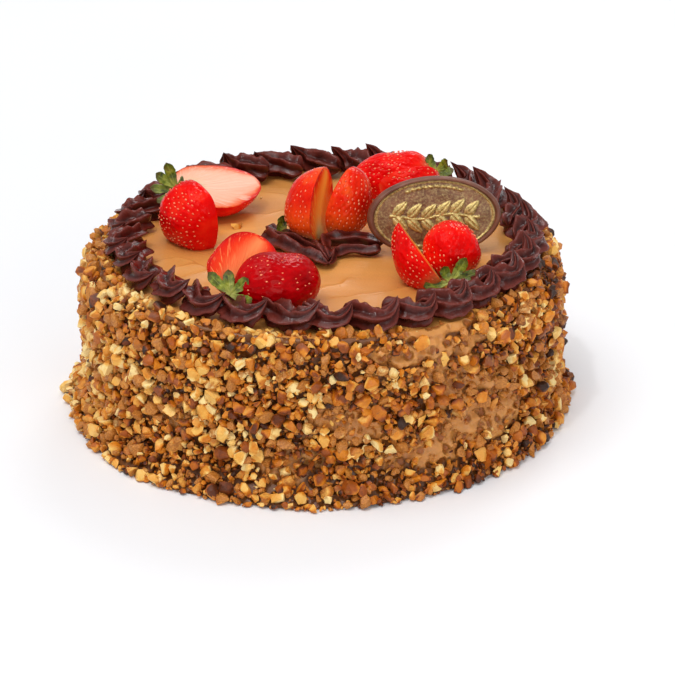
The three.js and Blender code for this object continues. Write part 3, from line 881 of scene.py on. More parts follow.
def moulded_plaque():
    """Milk chocolate with a bloom of gold dust, thick on what is raised and thinner in the field."""
    finish = Finish("moulded_plaque", Specular_IOR_Level=0.5)
    gold = finish.stored("gold")
    dust = finish.noise(1.0, 3, 0.65)
    cloud = finish.noise(9, 3, 0.6)
    chocolate = finish.ramp(cloud, (0.3, linear(92, 48, 32)), (0.7, linear(134, 80, 56)))
    cover = (gold * (0.4 + 1.2 * dust)).between(0.25, 0.8)
    shine = finish.ramp(dust, (0.3, linear(158, 126, 56)), (0.7, linear(250, 228, 156)))
    colour = finish.mixed(chocolate, shine, cover)
    return finish.feed(Base_Color=colour, Metallic=0.65 * cover, Roughness=0.36 + 0.2 * dust,
                       Normal=finish.bump(0.7 * dust + 0.3 * cloud, 0.18))


# Drum and its crust of nuts

def wall_radius(angle, height):
    """The wall's radius in millimetres: upright and slightly oval, rounded in at the top edge by a
    quarter circle, and spread at the foot by a heap whose width waves slowly round the cake."""
    edge = np.clip((height - (CAKE_HEIGHT - EDGE_DROP)) / EDGE_DROP, 0, 1)
    drawn_in = (WALL_RADIUS - TOP_FLAT_RADIUS) * (1 - np.sqrt(1 - edge ** 2))
    heap = 1 + sum(share * np.sin(lobes * angle + turn) for lobes, share, turn in HEAP_WAVES)
    foot = FOOT_SPREAD * heap * np.clip(1 - height / FOOT_HEIGHT, 0, 1) ** FOOT_SLOPE
    swell = SWELL * np.sin(SWELL_LOBES * angle + height * SWELL_TWIST)
    swell = swell * np.clip((CAKE_HEIGHT - height) / EDGE_DROP, 0, 1)
    oval = OVALNESS * np.cos(2 * (angle - math.radians(OVAL_AZIMUTH)))
    return WALL_RADIUS - drawn_in + foot + swell + oval


def bareness(angle, height):
    """How far frosting shows on the wall, 0 to 1: the largest of soft ovals round the bare patches,
    with a ragged edge."""
    shown = np.zeros(np.broadcast(angle, height).shape)
    place = polar(WALL_RADIUS, angle, height)
    ragged = BARE_RAGGEDNESS * waves(place, BARE_RAGGED_SIZE, BARE_RAGGED_SEED)
    for middle, centre, half_angle, half_height, thinning in BARE_PATCHES:
        across = (np.angle(np.exp(1j * (angle - math.radians(middle)))) / math.radians(half_angle)) ** 2
        up = ((height - centre) / half_height) ** 2
        shown = np.maximum(shown, thinning * smoothstep(*BARE_FADES, across + up + ragged))
    return shown


def frosting_top(x, y):
    """Height of the frosted top over its level, in millimetres, and the painted shade beside the marks, 0
    to 1. The height is long shallow sweeps and marks of the spatula: bowed lines with a steep side and a
    long slope, which fade out at both ends. The painted shade is a line beside each steep side."""
    points = np.stack([x, y, np.zeros_like(x)], -1)
    height = sum(deep * waves(points * squeezed, size, seed) for deep, size, seed, squeezed in TOP_WAVES)
    marked = np.zeros_like(x)
    for start, end, bow, lift in SPATULA_RIDGES:
        start = np.asarray(start, float)
        run = np.asarray(end, float) - start
        length = float(np.hypot(*run))
        along = ((x - start[0]) * run[0] + (y - start[1]) * run[1]) / length ** 2
        beside = ((y - start[1]) * run[0] - (x - start[0]) * run[1]) / length
        wander = RIDGE_WANDER * waves(points, RIDGE_WANDER_SIZE, RIDGE_WANDER_SEED)
        beyond = beside + bow * 4 * along * (1 - along) + wander
        fading = smoothstep(*RIDGE_FADES_IN, along) * smoothstep(*RIDGE_FADES_OUT, along)
        width = np.where(beyond > 0, RIDGE_STEEP_SIDE, RIDGE_LONG_SIDE)
        height += lift * fading * np.exp(-np.abs(beyond) / width)
        # Painted shade: a line just beyond the steep side, kept at the points for the frosting's colour.
        line = np.exp(-((beyond - RIDGE_SHADE_WIDTH) / RIDGE_SHADE_WIDTH) ** 2)
        marked = np.maximum(marked, fading * lift / FULL_SHADE_LIFT * line)
    return height, marked


def frosted_drum(finish):
    """The drum as rings: up the wall, set back under the nuts and brought forward where it is bare,
    over the edge by equal steps of its quarter circle, and then in over the top."""
    turns = np.linspace(0, 2 * np.pi, DRUM_COLUMNS, endpoint=False)[None, :]
    upright = CAKE_HEIGHT - EDGE_DROP
    rounded = upright + (EDGE_DROP - EDGE_SHORTFALL) * np.sin(np.linspace(EDGE_START, np.pi / 2, EDGE_ROWS))
    heights = np.concatenate([np.linspace(0, upright - WALL_END_GAP, WALL_ROWS), rounded])
    up = heights[:, None]
    bare = bareness(turns, up)
    place = polar(LUMP_PATTERN_RADIUS, turns, up)
    lump_height, lump_size, lump_seed = LUMPS
    lumps = lump_height * waves(place, lump_size, lump_seed)
    for deep, size, seed in CREASES:
        lumps = lumps - deep * np.abs(waves(place, size, seed))
    inset = FROSTING_INSET * np.clip((CAKE_HEIGHT - up) / INSET_FADING, 0, 1)
    swelling = BARE_FROSTING_RISE * bare + lumps * (LUMPS_UNDER_NUTS + bare)
    swelling = swelling * np.clip((CAKE_HEIGHT - up) / RISE_FADING, 0, 1)
    wall = polar(wall_radius(turns, up) - inset + swelling, turns, up)
    reach = np.linspace(1, 0, TOP_ROWS)[1:-1, None]
    rim = wall_radius(turns, float(heights[-1]))
    x = rim * reach * np.cos(turns)
    y = rim * reach * np.sin(turns)
    calm = smoothstep(1, TOP_CALM_FROM, reach)
    rise, marked = frosting_top(x, y)
    top = np.stack([x, y, heights[-1] - TOP_SINK + calm * rise], -1)
    floor = polar(FLOOR_RADIUS, turns, 0.0)
    rings = np.concatenate([floor, wall, top])
    rows, columns = rings.shape[:2]
    middles = [[0, 0, 0], [0, 0, CAKE_HEIGHT - TOP_MIDDLE_SINK]]
    points = np.concatenate([rings.reshape(-1, 3), middles])
    faces = [grid_faces(rows, columns), end_fans(rows, columns, rows * columns, rows * columns + 1)]
    lit = np.clip(LIT_WHERE_BARE * bare, 0, 1)
    shown = np.concatenate([np.zeros(floor.shape[:2]), lit, np.ones(x.shape)])
    # Painted shade beside the spatula marks, none on the floor and the wall.
    marks = np.concatenate([np.zeros((rows - len(x), columns)), marked])
    on_wall = np.arange(rows)[:, None] * np.ones(columns) < rows - len(x)
    drum = make_piece("frosted_drum", points, faces, [finish], {
        "open": np.append(shown, [0, 1]),
        "marked": np.append(marks, [0, 0]),
        "wall": np.append(on_wall, [1, 0]),
    })
    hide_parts("cake_body")


def ball_of(corners):
    """Evenly spread points on a ball, on a spiral from pole to pole, and the triangles of their hull."""
    number = np.arange(corners)
    climb = 1 - 2 * (number + 0.5) / corners
    turn = number * np.pi * (1 + math.sqrt(5))
    ring = np.sqrt(1 - climb ** 2)
    points = np.stack([ring * np.cos(turn), ring * np.sin(turn), climb], -1)
    hull = bmesh.new()
    for corner in points:
        hull.verts.new(corner)
    hull.verts.index_update()
    bmesh.ops.convex_hull(hull, input=hull.verts)
    bmesh.ops.triangulate(hull, faces=hull.faces[:])
    faces = np.array([[vertex.index for vertex in face.verts] for face in hull.faces])
    hull.free()
    corner = points[faces]
    normals = np.cross(corner[:, 1] - corner[:, 0], corner[:, 2] - corner[:, 0])
    inside_out = (normals * corner.mean(1)).sum(-1) < 0
    faces[inside_out] = faces[inside_out][:, ::-1]
    return points, faces


def nut_shape(ball, faces, draw):
    """One chopped nut of unit length: a dented and flattened ball with three to five sides pressed flat
    where it was cut. Returns its points, its triangles, and 1 for each point on a cut side."""
    shape = ball * draw.uniform(*NUT_DENTS, (len(ball), 1))
    shape = shape * (1, draw.uniform(*NUT_BREADTH), draw.uniform(*NUT_THICKNESS))
    pressed = np.zeros(len(ball))
    for _ in range(draw.integers(*NUT_CUTS)):
        cut = unit(draw.normal(size=3))
        reach = float((shape @ cut).max()) * draw.uniform(*NUT_CUT_REACH)
        over = np.clip(shape @ cut - reach, 0, None)
        shape -= over[:, None] * cut
        pressed = np.maximum(pressed, over > 0)
    return shape / np.ptp(shape, axis=0).max(), faces, pressed


def random_turns(draw, count):
    """Random rotations as an array of three by three matrices, from random unit quaternions."""
    w, x, y, z = unit(draw.normal(size=(count, 4))).T
    rows = [
        [1 - 2 * (y * y + z * z), 2 * (x * y - z * w), 2 * (x * z + y * w)],
        [2 * (x * y + z * w), 1 - 2 * (x * x + z * z), 2 * (y * z - x * w)],
        [2 * (x * z - y * w), 2 * (y * z + x * w), 1 - 2 * (x * x + y * y)],
    ]
    return np.array(rows).transpose(2, 0, 1)


def scattered(shapes, draw, centres, widths, turns=None):
    """Many small solids as one mesh: each centre gets one of the shapes, turned and scaled. Returns the
    points, the triangles, and for each point the number of its solid and its value in the shape."""
    which = draw.integers(0, len(shapes), len(centres))
    turns = random_turns(draw, len(centres)) if turns is None else turns
    points, faces, owners, marks = [], [], [], []
    count = 0
    for number, (corners, triangles, values) in enumerate(shapes):
        chosen = np.flatnonzero(which == number)
        placed = np.einsum("nij,pj->npi", turns[chosen], corners) * widths[chosen, None, None]
        placed += centres[chosen, None, :]
        offsets = count + np.arange(len(chosen))[:, None, None] * len(corners)
        points.append(placed.reshape(-1, 3))
        faces.append((triangles[None] + offsets).reshape(-1, 3))
        owners.append(np.repeat(chosen, len(corners)))
        marks.append(np.tile(values, len(chosen)))
        count += placed.shape[0] * placed.shape[1]
    return [np.concatenate(group) for group in (points, faces, owners, marks)]


def nut_crust(finish):
    """Nuts on a jittered grid that runs up the wall, over the rounded edge and a little way in over the
    top, one mesh for each size, left out at random where the frosting is bare. Each lies on the
    surface, pushed out along its slope by a share of its own width."""
    draw = np.random.default_rng(CRUST_DRAW)
    for name, (least, most), spacing, stand_out, corners, toast_and_depth_shade in NUT_SIZES:
        ball, triangles = ball_of(corners)
        shapes = [nut_shape(ball, triangles, draw) for _ in range(NUT_SHAPES)]
        rows = int((CAKE_HEIGHT + CRUST_INWARD) / (spacing * CRUST_ROW_STEP))
        columns = int(2 * np.pi * CRUST_RADIUS / spacing)
        row, column = np.meshgrid(np.arange(rows), np.arange(columns), indexing="ij")
        shift = draw.uniform(-CRUST_JITTER, CRUST_JITTER, (2, rows, columns))
        run = (0.5 * spacing + (row + shift[0]) * spacing * CRUST_ROW_STEP).ravel()
        angle = ((column + 0.5 * (row % 2) + shift[1]) / columns * 2 * np.pi).ravel()
        width = draw.uniform(0, 1, run.size) ** SMALL_NUTS_FAVOURED * (most - least) + least
        height = np.clip(run, RESTING_SHARE * width, CAKE_HEIGHT)
        bare = bareness(angle, height)
        keep = draw.uniform(0, 1, run.size) > bare
        run, angle, width, height, bare = (group[keep] for group in (run, angle, width, height, bare))
        slope = np.arcsin(np.clip((height - CAKE_HEIGHT + EDGE_DROP) / EDGE_DROP, 0, 1))
        proud = stand_out + draw.uniform(-STAND_OUT_SPREAD, STAND_OUT_SPREAD, run.size)
        out = (proud - SUNK_WHERE_BARE * bare) * 0.5 * width
        inward = np.clip(run - CAKE_HEIGHT, 0, None)
        radius = wall_radius(angle, height) - inward + out * np.cos(slope)
        centres = polar(radius, angle, height + out * np.sin(slope))
        strays = np.array([stray for stray in STRAY_NUTS if least <= stray[2] < most])
        if len(strays):
            wide = strays[:, 2]
            strays = np.column_stack([strays[:, :2], CAKE_HEIGHT + RESTING_SHARE * wide])
            centres = np.concatenate([centres, strays])
            width = np.append(width, wide)
            bare = np.append(bare, np.zeros(len(wide)))
        points, faces, owners, pressed = scattered(shapes, draw, centres, width)
        cloud, cloud_size, cloud_seed = TOAST_CLOUDS
        # Painted shade: nuts further right are made darker, on top of the random clouds of toast.
        to_right = centres[:, 0] / WALL_RADIUS
        shade_and_toast_clouds = SHADE_TO_RIGHT * to_right + cloud * waves(centres, cloud_size, cloud_seed)
        number = len(centres)
        # The base tone of each size includes painted shade, darker for the smaller nuts that sit deeper.
        tone = np.clip(draw.normal(toast_and_depth_shade, TOAST_SPREAD, number) + shade_and_toast_clouds, 0, TOAST_LIMIT)
        burnt = draw.uniform(0, 1, number) < BURNT_SHARE
        tone = np.where(burnt, draw.uniform(TOAST_LIMIT, 1, number), tone)
        shown = tone[owners] + CUT_PALENESS * (0.5 - pressed)
        smeared = np.clip(draw.uniform(*SMEARED, number) + SMEARED_WHERE_BARE * bare, 0, 1)
        points[:, 2] = np.maximum(points[:, 2], LOWEST_NUT_POINT)
        crust = make_piece(name, points, [faces], [finish],
                           {"tone": shown, "smeared": smeared[owners]})
        crust.data.set_sharp_from_angle(angle=math.radians(NUT_EDGE_ANGLE))


# Piped chocolate

def star_rope(path, radius, twist, star):
    """A star-shaped section carried along a path: at each step the section lies across the path, and
    its radius falls from each sharp crest to the valley beside it. Returns points and crest share."""
    ridges, depth, sides = star
    ahead = unit(np.gradient(path, axis=0))
    aside = unit(np.cross(ahead, (0, 0, 1.0)))
    lift = np.cross(aside, ahead)
    around = np.linspace(0, 2 * np.pi, sides, endpoint=False)[None, :]
    valley = np.abs(np.sin(0.5 * ridges * (around + twist[:, None]))) ** RIDGE_ROUNDNESS
    reach = radius[:, None] * (1 - depth * valley)
    grid = path[:, None, :] + (reach * np.cos(around))[..., None] * lift[:, None, :]
    grid = grid + (reach * np.sin(around))[..., None] * aside[:, None, :]
    return grid, 1 - valley


def settle(grid, floor):
    """Lets the points of a grid sink hardly at all below the surface that they lie on."""
    low = np.minimum(grid[..., 2] - floor, 0)
    grid[..., 2] = np.maximum(grid[..., 2], floor + SINKING_LEFT * low)


class PipedStrands:
    """Strands of piped chocolate that become one mesh, each closed to a point at both ends."""

    def __init__(self):
        self.points, self.crests, self.faces = [], [], []
        self.count = 0

    def add(self, path, grid, crest, peak, end_crests):
        """Adds a strand: its last ring is drawn out to a peak, and end_crests are the crest shares
        of the two end points."""
        rows, columns = grid.shape[:2]
        first_end = self.count + rows * columns
        start = path[0] - BLUNT_REACH * unit(path[1] - path[0])
        self.points += [grid.reshape(-1, 3), np.stack([start, path[-1] + peak * unit(path[-1] - path[-2])])]
        self.crests += [crest.ravel(), end_crests]
        self.faces += [
            grid_faces(rows, columns, self.count),
            end_fans(rows, columns, first_end, first_end + 1, self.count),
        ]
        self.count += rows * columns + 2

    def piece(self, name, finish):
        values = {"crest": np.concatenate(self.crests)}
        return make_piece(name, np.concatenate(self.points), self.faces, [finish], values)


def smooth_path(corners, count):
    """A Catmull-Rom curve through the corners, evenly shared out between them."""
    knots = np.asarray(corners, float)
    knots = np.concatenate([[2 * knots[0] - knots[1]], knots, [2 * knots[-1] - knots[-2]]])
    share = np.linspace(0, len(corners) - 1 - 1e-6, count)
    span = share.astype(int)
    t = (share - span)[:, None]
    p0, p1, p2, p3 = (knots[span + shift] for shift in range(4))
    return 0.5 * (2 * p1 + (p2 - p0) * t + (2 * p0 - 5 * p1 + 4 * p2 - p3) * t ** 2
                  + (3 * p1 - p0 - 3 * p2 + p3) * t ** 3)


def piped_border(finish):
    """A ring of turns, each a star-shaped section on its own course round the cake. Where a turn's
    share of its course is small its end is rounded off like half a ball."""
    draw = np.random.default_rng(BORDER_DRAW)
    lengths = draw.uniform(*TURN_LENGTHS, BORDER_TURNS)
    starts = np.cumsum(lengths) / lengths.sum()
    share = np.linspace(0, 1, ROWS_IN_TURN)
    course = smooth_path(TURN_COURSE, ROWS_IN_TURN)
    blunt = np.sqrt(1 - np.clip(1 - share / BLUNT_START, 0, BLUNT_LIMIT) ** 2)
    strands = PipedStrands()
    for start, length in zip(starts, lengths):
        swing, lift, girth, wander = draw.uniform(LEAST_TURN, LARGEST_TURN)
        taller = TALLER_THERE * math.cos(2 * np.pi * start - math.radians(TALLEST_AZIMUTH))
        angle = 2 * np.pi * start + course[:, 0] * length / BORDER_RADIUS
        middle = BORDER_RADIUS + wander + OUTWARD_WHERE_TALLER * taller
        path = polar(middle + swing * course[:, 1], angle, CAKE_HEIGHT + (lift + taller) * course[:, 2])
        twist = draw.uniform(-TURN_TWIST, TURN_TWIST) + draw.uniform(-PEAK_TWIST, PEAK_TWIST) * share
        grid, crest = star_rope(path, girth * blunt * course[:, 3], twist, BORDER_STAR)
        uneven = sum(deep * waves(grid, size, seed) for deep, size, seed in TURN_LUMPS)
        grid = grid + uneven[..., None] * (grid - path[:, None, :]) / TURN_LUMP_RADIUS
        over = np.hypot(grid[..., 0], grid[..., 1]) - TOP_FLAT_RADIUS + EDGE_OVERHANG
        settle(grid, CAKE_HEIGHT - PIPED_SINK - EDGE_FALL * np.clip(over, 0, None))
        strands.add(path, grid, crest, PEAK_REACH, (0.5, 1))
    border = strands.piece("piped_border", finish)
    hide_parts("chocolate_border")


def middle_rope(finish):
    """Strands of piped rope that run together in a fold in front of the upright strawberry."""
    lump, lump_size, seed = STRAND_LUMPS
    share = np.linspace(0, 1, ROPE_ROWS)
    to_end = np.minimum(share, 1 - share)
    rounded = np.sqrt(1 - np.clip(1 - to_end / ROPE_END, 0, ROPE_END_LIMIT) ** 2)
    strands = PipedStrands()
    for number, (corners, middle, radii) in enumerate(ROPE_STRANDS):
        path = np.column_stack([smooth_path(corners, ROPE_ROWS), np.full(ROPE_ROWS, CAKE_HEIGHT + middle)])
        path[:, 2] += ROPE_RIPPLE * np.sin(share * ROPE_RIPPLES + number)
        thick = rounded * np.interp(share, np.linspace(0, 1, len(radii)), radii)
        twist = ROPE_TWIST * share + ROPE_TWIST_START + number
        grid, crest = star_rope(path, thick, twist, ROPE_STAR)
        uneven = lump * waves(grid, lump_size, seed + number)
        grid = grid + uneven[..., None] * (grid - path[:, None, :]) / STRAND_LUMP_RADIUS
        settle(grid, CAKE_HEIGHT - PIPED_SINK)
        strands.add(path, grid, crest, BLUNT_REACH, (0, 0))
    rope = strands.piece("middle_rope", finish)
    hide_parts("piped_rope")


# Strawberries

def berry_width(share, bluntness):
    """Width along the axis as a share of the radius: a quarter ellipse from the stem to the heart, and
    a fuller curve from there to the tip, pointed or blunt."""
    near = np.sqrt(np.clip(1 - ((BERRY_HEART - share) / BERRY_HEART) ** 2, 0, 1))
    beyond = np.clip((share - BERRY_HEART) / (1 - BERRY_HEART), 0, 1)
    tip = (BERRY_TIP_FULLNESS, BERRY_TIP_ROUNDNESS)
    fullness, roundness = (pointed + (blunt - pointed) * bluntness for pointed, blunt in tip)
    far = (1 - beyond ** fullness) ** roundness
    return np.where(share < BERRY_HEART, near, far)


def seed_places(length, radius, bluntness, low_angle, high_angle, draw):
    """Rows of seeds from stem to tip, staggered, each row with as many as its width has room for."""
    shares, angles = [], []
    for row, share in enumerate(np.arange(*SEED_ROWS, SEED_SPACING * SEED_ROW_STEP / length)):
        wide = radius * float(berry_width(np.array(share), bluntness))
        room = (high_angle - low_angle) * max(wide, SEED_ROW_LEAST_RADIUS)
        count = max(1, int(room / SEED_SPACING))
        spots = (np.arange(count) + 0.25 + 0.5 * (row % 2)) / count
        spots = spots + draw.uniform(-SEED_STRAY_ROUND, SEED_STRAY_ROUND, count) / count
        shares.append(share + draw.uniform(-SEED_STRAY_ALONG, SEED_STRAY_ALONG, count))
        angles.append(low_angle + SEED_FROM_CUT + (high_angle - low_angle - 2 * SEED_FROM_CUT) * spots)
    return np.concatenate(shares), np.concatenate(angles)


def berry_frame(stem, tip, face):
    """The piece's own directions: along its axis, out of its round back, and to the side."""
    stem = np.asarray(stem, float)
    axis = np.asarray(tip, float) - stem
    length = float(np.linalg.norm(axis))
    axis = axis / length
    outward = -np.asarray(face, float)
    outward = unit(outward - (outward @ axis) * axis)
    return stem, axis, outward, np.cross(outward, axis), length


def seed_solid():
    """A seed of unit length: a drop of rings whose width is a sine of their share of the length,
    wider than thick. Returns points, triangles and a zero for each point."""
    share = np.array(SEED_RINGS)[:, None]
    around = np.linspace(0, 2 * np.pi, SEED_SIDES, endpoint=False)[None, :]
    wide = 0.5 * np.sin(np.pi * share ** SEED_FULLNESS)
    across = SEED_BREADTH * wide * np.cos(around)
    through = SEED_THICKNESS * wide * np.sin(around)
    rings = np.stack(np.broadcast_arrays(across, through, share - 0.5), -1)
    points = np.concatenate([rings.reshape(-1, 3), [[0, 0, -0.5]], [[0, 0, 0.5]]])
    rows, columns = rings.shape[:2]
    quads = grid_faces(rows, columns)
    fans = end_fans(rows, columns, rows * columns, rows * columns + 1)
    faces = np.concatenate([quads[:, [0, 1, 2]], quads[:, [0, 2, 3]], fans])
    return points, faces, np.zeros(len(points))


def berry_piece(spec, number, finishes):
    """A cut strawberry as rings from stem to tip: a round back with a pit at each seed, each a bell
    curve of the distance to it, and a cut side that runs straight across and bulges a little.
    Returns the seeds' centres and turns."""
    name, stem, tip, radius, face, past_axis, bluntness, skin_look, flesh_look = spec
    stem, axis, outward, aside, length = berry_frame(stem, tip, face)
    draw = np.random.default_rng(BERRY_DRAW + number)
    share = 0.5 - 0.5 * np.cos(np.linspace(0, np.pi, BERRY_ROWS + 2)[1:-1])[:, None]
    wide = radius * berry_width(share, bluntness)
    dip = np.minimum(BERRY_CUT_LIMIT, np.arcsin(np.clip(past_axis * radius / wide, 0, 1)))
    around = -dip + np.linspace(0, 1, SKIN_COLUMNS)[None, :] * (np.pi + 2 * dip)
    flat = stem + share[..., None] * length * axis
    round_way = np.cos(around)[..., None] * aside + np.sin(around)[..., None] * outward
    lumps = waves(flat + wide[..., None] * round_way, BERRY_LUMP_SIZE, BERRY_LUMP_DRAW + number)
    lumpy = 1 + BERRY_LUMP_SHARE * lumps
    lowest = -SEEDS_TO_CUT * float(dip.min())
    seed_share, seed_angle = seed_places(length, radius, bluntness, lowest, np.pi - lowest, draw)
    seed_wide = radius * berry_width(seed_share, bluntness)
    gap_along = (share[..., None] - seed_share) * length
    gap_round = (around[..., None] - seed_angle) * np.minimum(wide[..., None], seed_wide)
    dimple = np.exp(-(gap_along ** 2 * DIMPLE_STRETCH + gap_round ** 2) / DIMPLE_WIDTH ** 2).max(-1)
    back = flat + (wide * lumpy - DIMPLE_DEPTH * dimple)[..., None] * round_way
    across = np.linspace(0, 1, CUT_COLUMNS + 2)[None, 1:-1, None]
    bulge = CUT_BULGE * np.sin(np.pi * across) * smoothstep(0, BULGE_FULL_FROM, wide[..., None] / radius)
    front = back[:, -1:] * (1 - across) + back[:, :1] * across - bulge * outward
    rings = np.concatenate([back, front], 1)
    rows, columns = rings.shape[:2]
    ends = np.stack([stem, stem + axis * length])
    points = np.concatenate([rings.reshape(-1, 3), ends])
    along = np.broadcast_to(share, (rows, columns))
    offset = 1 - 2 * across[..., 0]
    edge_front = np.broadcast_to(np.abs(offset), (rows, CUT_COLUMNS))
    to_ends = np.minimum(share / CUT_RIM_SHARES[0], (1 - share) / CUT_RIM_SHARES[1])
    edge_front = np.maximum(edge_front, 1 - np.clip(to_ends, 0, 1))
    edge = np.concatenate([np.ones((rows, SKIN_COLUMNS)), edge_front], 1)
    fan_front = np.arctan2(offset * wide, (share - FAN_START) * length)
    fan = np.concatenate([np.repeat(fan_front[:, -1:], SKIN_COLUMNS, 1), fan_front], 1)
    pits = np.concatenate([dimple, np.zeros((rows, CUT_COLUMNS))], 1)
    quads = grid_faces(rows, columns)
    fans = end_fans(rows, columns, rows * columns, rows * columns + 1)
    on_cut = np.concatenate([quads[:, 0] % columns, np.minimum(fans[:, 1] % columns, fans[:, 2] % columns)])
    values = {
        "along": np.append(along, [0, 1]),
        "edge": np.append(edge, [1, 1]),
        "fan": np.append(fan, [0, 0]),
        "dimple": np.append(pits, [0, 0]),
    }
    piece = make_piece(name.replace("strawberry", "berry"), points, [quads, fans],
                       [finishes["skin_" + skin_look], finishes["flesh_" + flesh_look]], values,
                       finish_of_face=(on_cut >= SKIN_COLUMNS - 1) * 1)
    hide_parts(name)
    seed_way = np.cos(seed_angle)[:, None] * aside + np.sin(seed_angle)[:, None] * outward
    seated = seed_wide - DIMPLE_DEPTH * SEED_SINK
    centres = stem + (seed_share * length)[:, None] * axis + seated[:, None] * seed_way
    ahead = berry_width(seed_share + SLOPE_STEP, bluntness)
    behind = berry_width(seed_share - SLOPE_STEP, bluntness)
    slope = (ahead - behind) * radius / (2 * SLOPE_STEP * length)
    lie = unit(axis + slope[:, None] * seed_way)
    outward_way = unit(seed_way - (seed_way * lie).sum(-1, keepdims=True) * lie)
    turns = np.stack([np.cross(outward_way, lie), outward_way, lie], -1)
    kept = draw.uniform(0, 1, len(centres)) < SEEDS_KEPT[skin_look]
    return centres[kept], turns[kept]


def strawberries(skin_and_flesh, seed_finish):
    """All the cut strawberries, and the seeds of all of them as one mesh."""
    centres, turns = [], []
    for number, spec in enumerate(BERRIES):
        spots, ways = berry_piece(spec, number, skin_and_flesh)
        centres.append(spots)
        turns.append(ways)
    centres = np.concatenate(centres)
    draw = np.random.default_rng(SEED_DRAW)
    lengths = draw.uniform(*SEED_LENGTHS, len(centres))
    points, faces, _, _ = scattered([seed_solid()], draw, centres, lengths, np.concatenate(turns))
    make_piece("strawberry_seeds", points, [faces], [seed_finish])


# Leaves

def leaf_blade(middle, along, length, up):
    """One leaf as a thin solid: along its length it widens and narrows to a point, it is folded along
    the midrib, waves at its edges and curls up at the tip. The edge has shallow teeth. Returns its
    sections, and for each point how near a vein lies and its share of the length."""
    share = np.linspace(0, 1, LEAF_ROWS)[:, None]
    across = np.linspace(-1, 1, LEAF_COLUMNS)[None, :]
    normal = unit(up - (up @ along) * along)
    leftward = np.cross(normal, along)
    width = np.interp(share, *LEAF_OUTLINE)
    teeth = TOOTH_DEPTH * np.cos(share * TOOTH_PACE) * np.abs(across) * smoothstep(*TEETH_SET_IN, share)
    sideways = 0.5 * LEAF_WIDTH * width * (1 + teeth) * across
    rise = np.interp(share, *LEAF_RISE)
    fold = LEAF_FOLD * np.abs(across) ** FOLD_POWER * np.clip(share / FOLD_OPENS, 0, 1)
    fold = fold * (1 - FOLD_EASES * share)
    ripple = RIPPLE_HEIGHT * np.sin(share * RIPPLE_PACE + RIPPLE_SLANT * across) * np.abs(across) * share
    spine = middle + (share * length)[..., None] * along
    sheet = spine + sideways[..., None] * leftward + (rise + fold + ripple)[..., None] * normal
    to_side_vein = np.abs(np.sin(share * VEIN_PACE - np.abs(across) * VEIN_SLANT))
    side_vein = SIDE_VEIN_SHARE * smoothstep(*VEIN_EDGES, to_side_vein)
    vein = np.maximum(np.exp(-(across / MIDRIB_WIDTH) ** 2), side_vein)
    thick = LEAF_THICKNESS * (1 - EDGE_THINNING * across ** 4)
    thick = thick * np.clip((1 - share) * TIP_THINNING, THINNEST_TIP, 1)
    above = sheet + 0.5 * thick[..., None] * normal
    below = sheet - 0.5 * thick[..., None] * normal
    section = np.concatenate([above, below[:, ::-1]], 1)
    veins = np.concatenate([vein, vein[:, ::-1] * UNDERSIDE_VEIN_SHARE], 1)
    return section, veins, np.broadcast_to(share, veins.shape)


def leaf_tuft(spec, finish):
    """Leaves that fan out from one hub, as one mesh, each closed at its foot and at its point."""
    node, hub, up, leaves = spec
    hub = np.asarray(hub, float)
    up = unit(up)
    parts, veins, shares, faces = [], [], [], []
    count = 0
    for direction, length in leaves:
        section, vein, share = leaf_blade(hub, unit(direction), length, up)
        section = section[:, ::-1]
        rows, columns = section.shape[:2]
        first_end = count + rows * columns
        faces += [grid_faces(rows, columns, count), end_fans(rows, columns, first_end, first_end + 1, count)]
        parts += [section.reshape(-1, 3), section[[0, -1]].mean(1)]
        veins += [vein[:, ::-1].ravel(), np.zeros(2)]
        shares += [share.ravel(), np.array([0, 1])]
        count += rows * columns + 2
    name = node.replace("leaves", "tuft").replace("leaf", "sprout")
    values = {"vein": np.concatenate(veins), "along": np.concatenate(shares)}
    tuft = make_piece(name, np.concatenate(parts), faces, [finish], values)
    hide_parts(node)


# Plaque

def sprig_relief(x, y):
    """Raised ornament in the plaque's field, 0 to 1: a wavy stem with paired leaves, each an oval that
    narrows to its tip and has a grooved midrib, and a row of beads above and below."""
    stem_line = STEM_WAVE * np.sin(x * STEM_PACE)
    relief = STEM_SHARE * np.exp(-((y - stem_line) / STEM_THICKNESS) ** 2) * (np.abs(x) < STEM_REACH)
    for pair in range(SPRIG_PAIRS):
        foot = FIRST_PAIR + PAIR_STEP * pair
        for side in (-1, 1):
            tilt = side * SPRIG_LEAF_TILT
            ahead = x - foot - SPRIG_LEAF_AHEAD
            aside = y - STEM_WAVE * math.sin(foot * STEM_PACE) - side * SPRIG_LEAF_ASIDE
            long = ahead * math.cos(tilt) + aside * math.sin(tilt)
            short = aside * math.cos(tilt) - ahead * math.sin(tilt)
            half_width = SPRIG_LEAF_WIDTH * (1 - SPRIG_LEAF_TAPER * long)
            oval = np.sqrt(np.clip(1 - (long / SPRIG_LEAF_LENGTH) ** 2 - (short / half_width) ** 2, 0, 1))
            groove = GROOVE_DEPTH * np.exp(-(short / GROOVE_WIDTH) ** 2)
            relief = np.maximum(relief, oval * (1 - groove))
    angle = np.arctan2(y / PLAQUE_HALF_HEIGHT, x / PLAQUE_HALF_WIDTH)
    ring = np.hypot(x / PLAQUE_HALF_WIDTH, y / PLAQUE_HALF_HEIGHT)
    above_or_below = np.abs(np.abs(angle) - np.pi / 2) < BEAD_ARC
    bead = np.abs(np.sin(angle * BEAD_PACE)) ** BEAD_ROUNDNESS
    bead = bead * np.exp(-((ring - BEAD_SHARE) / BEAD_WIDTH) ** 2)
    return np.maximum(relief, BEAD_RISE * bead * above_or_below)


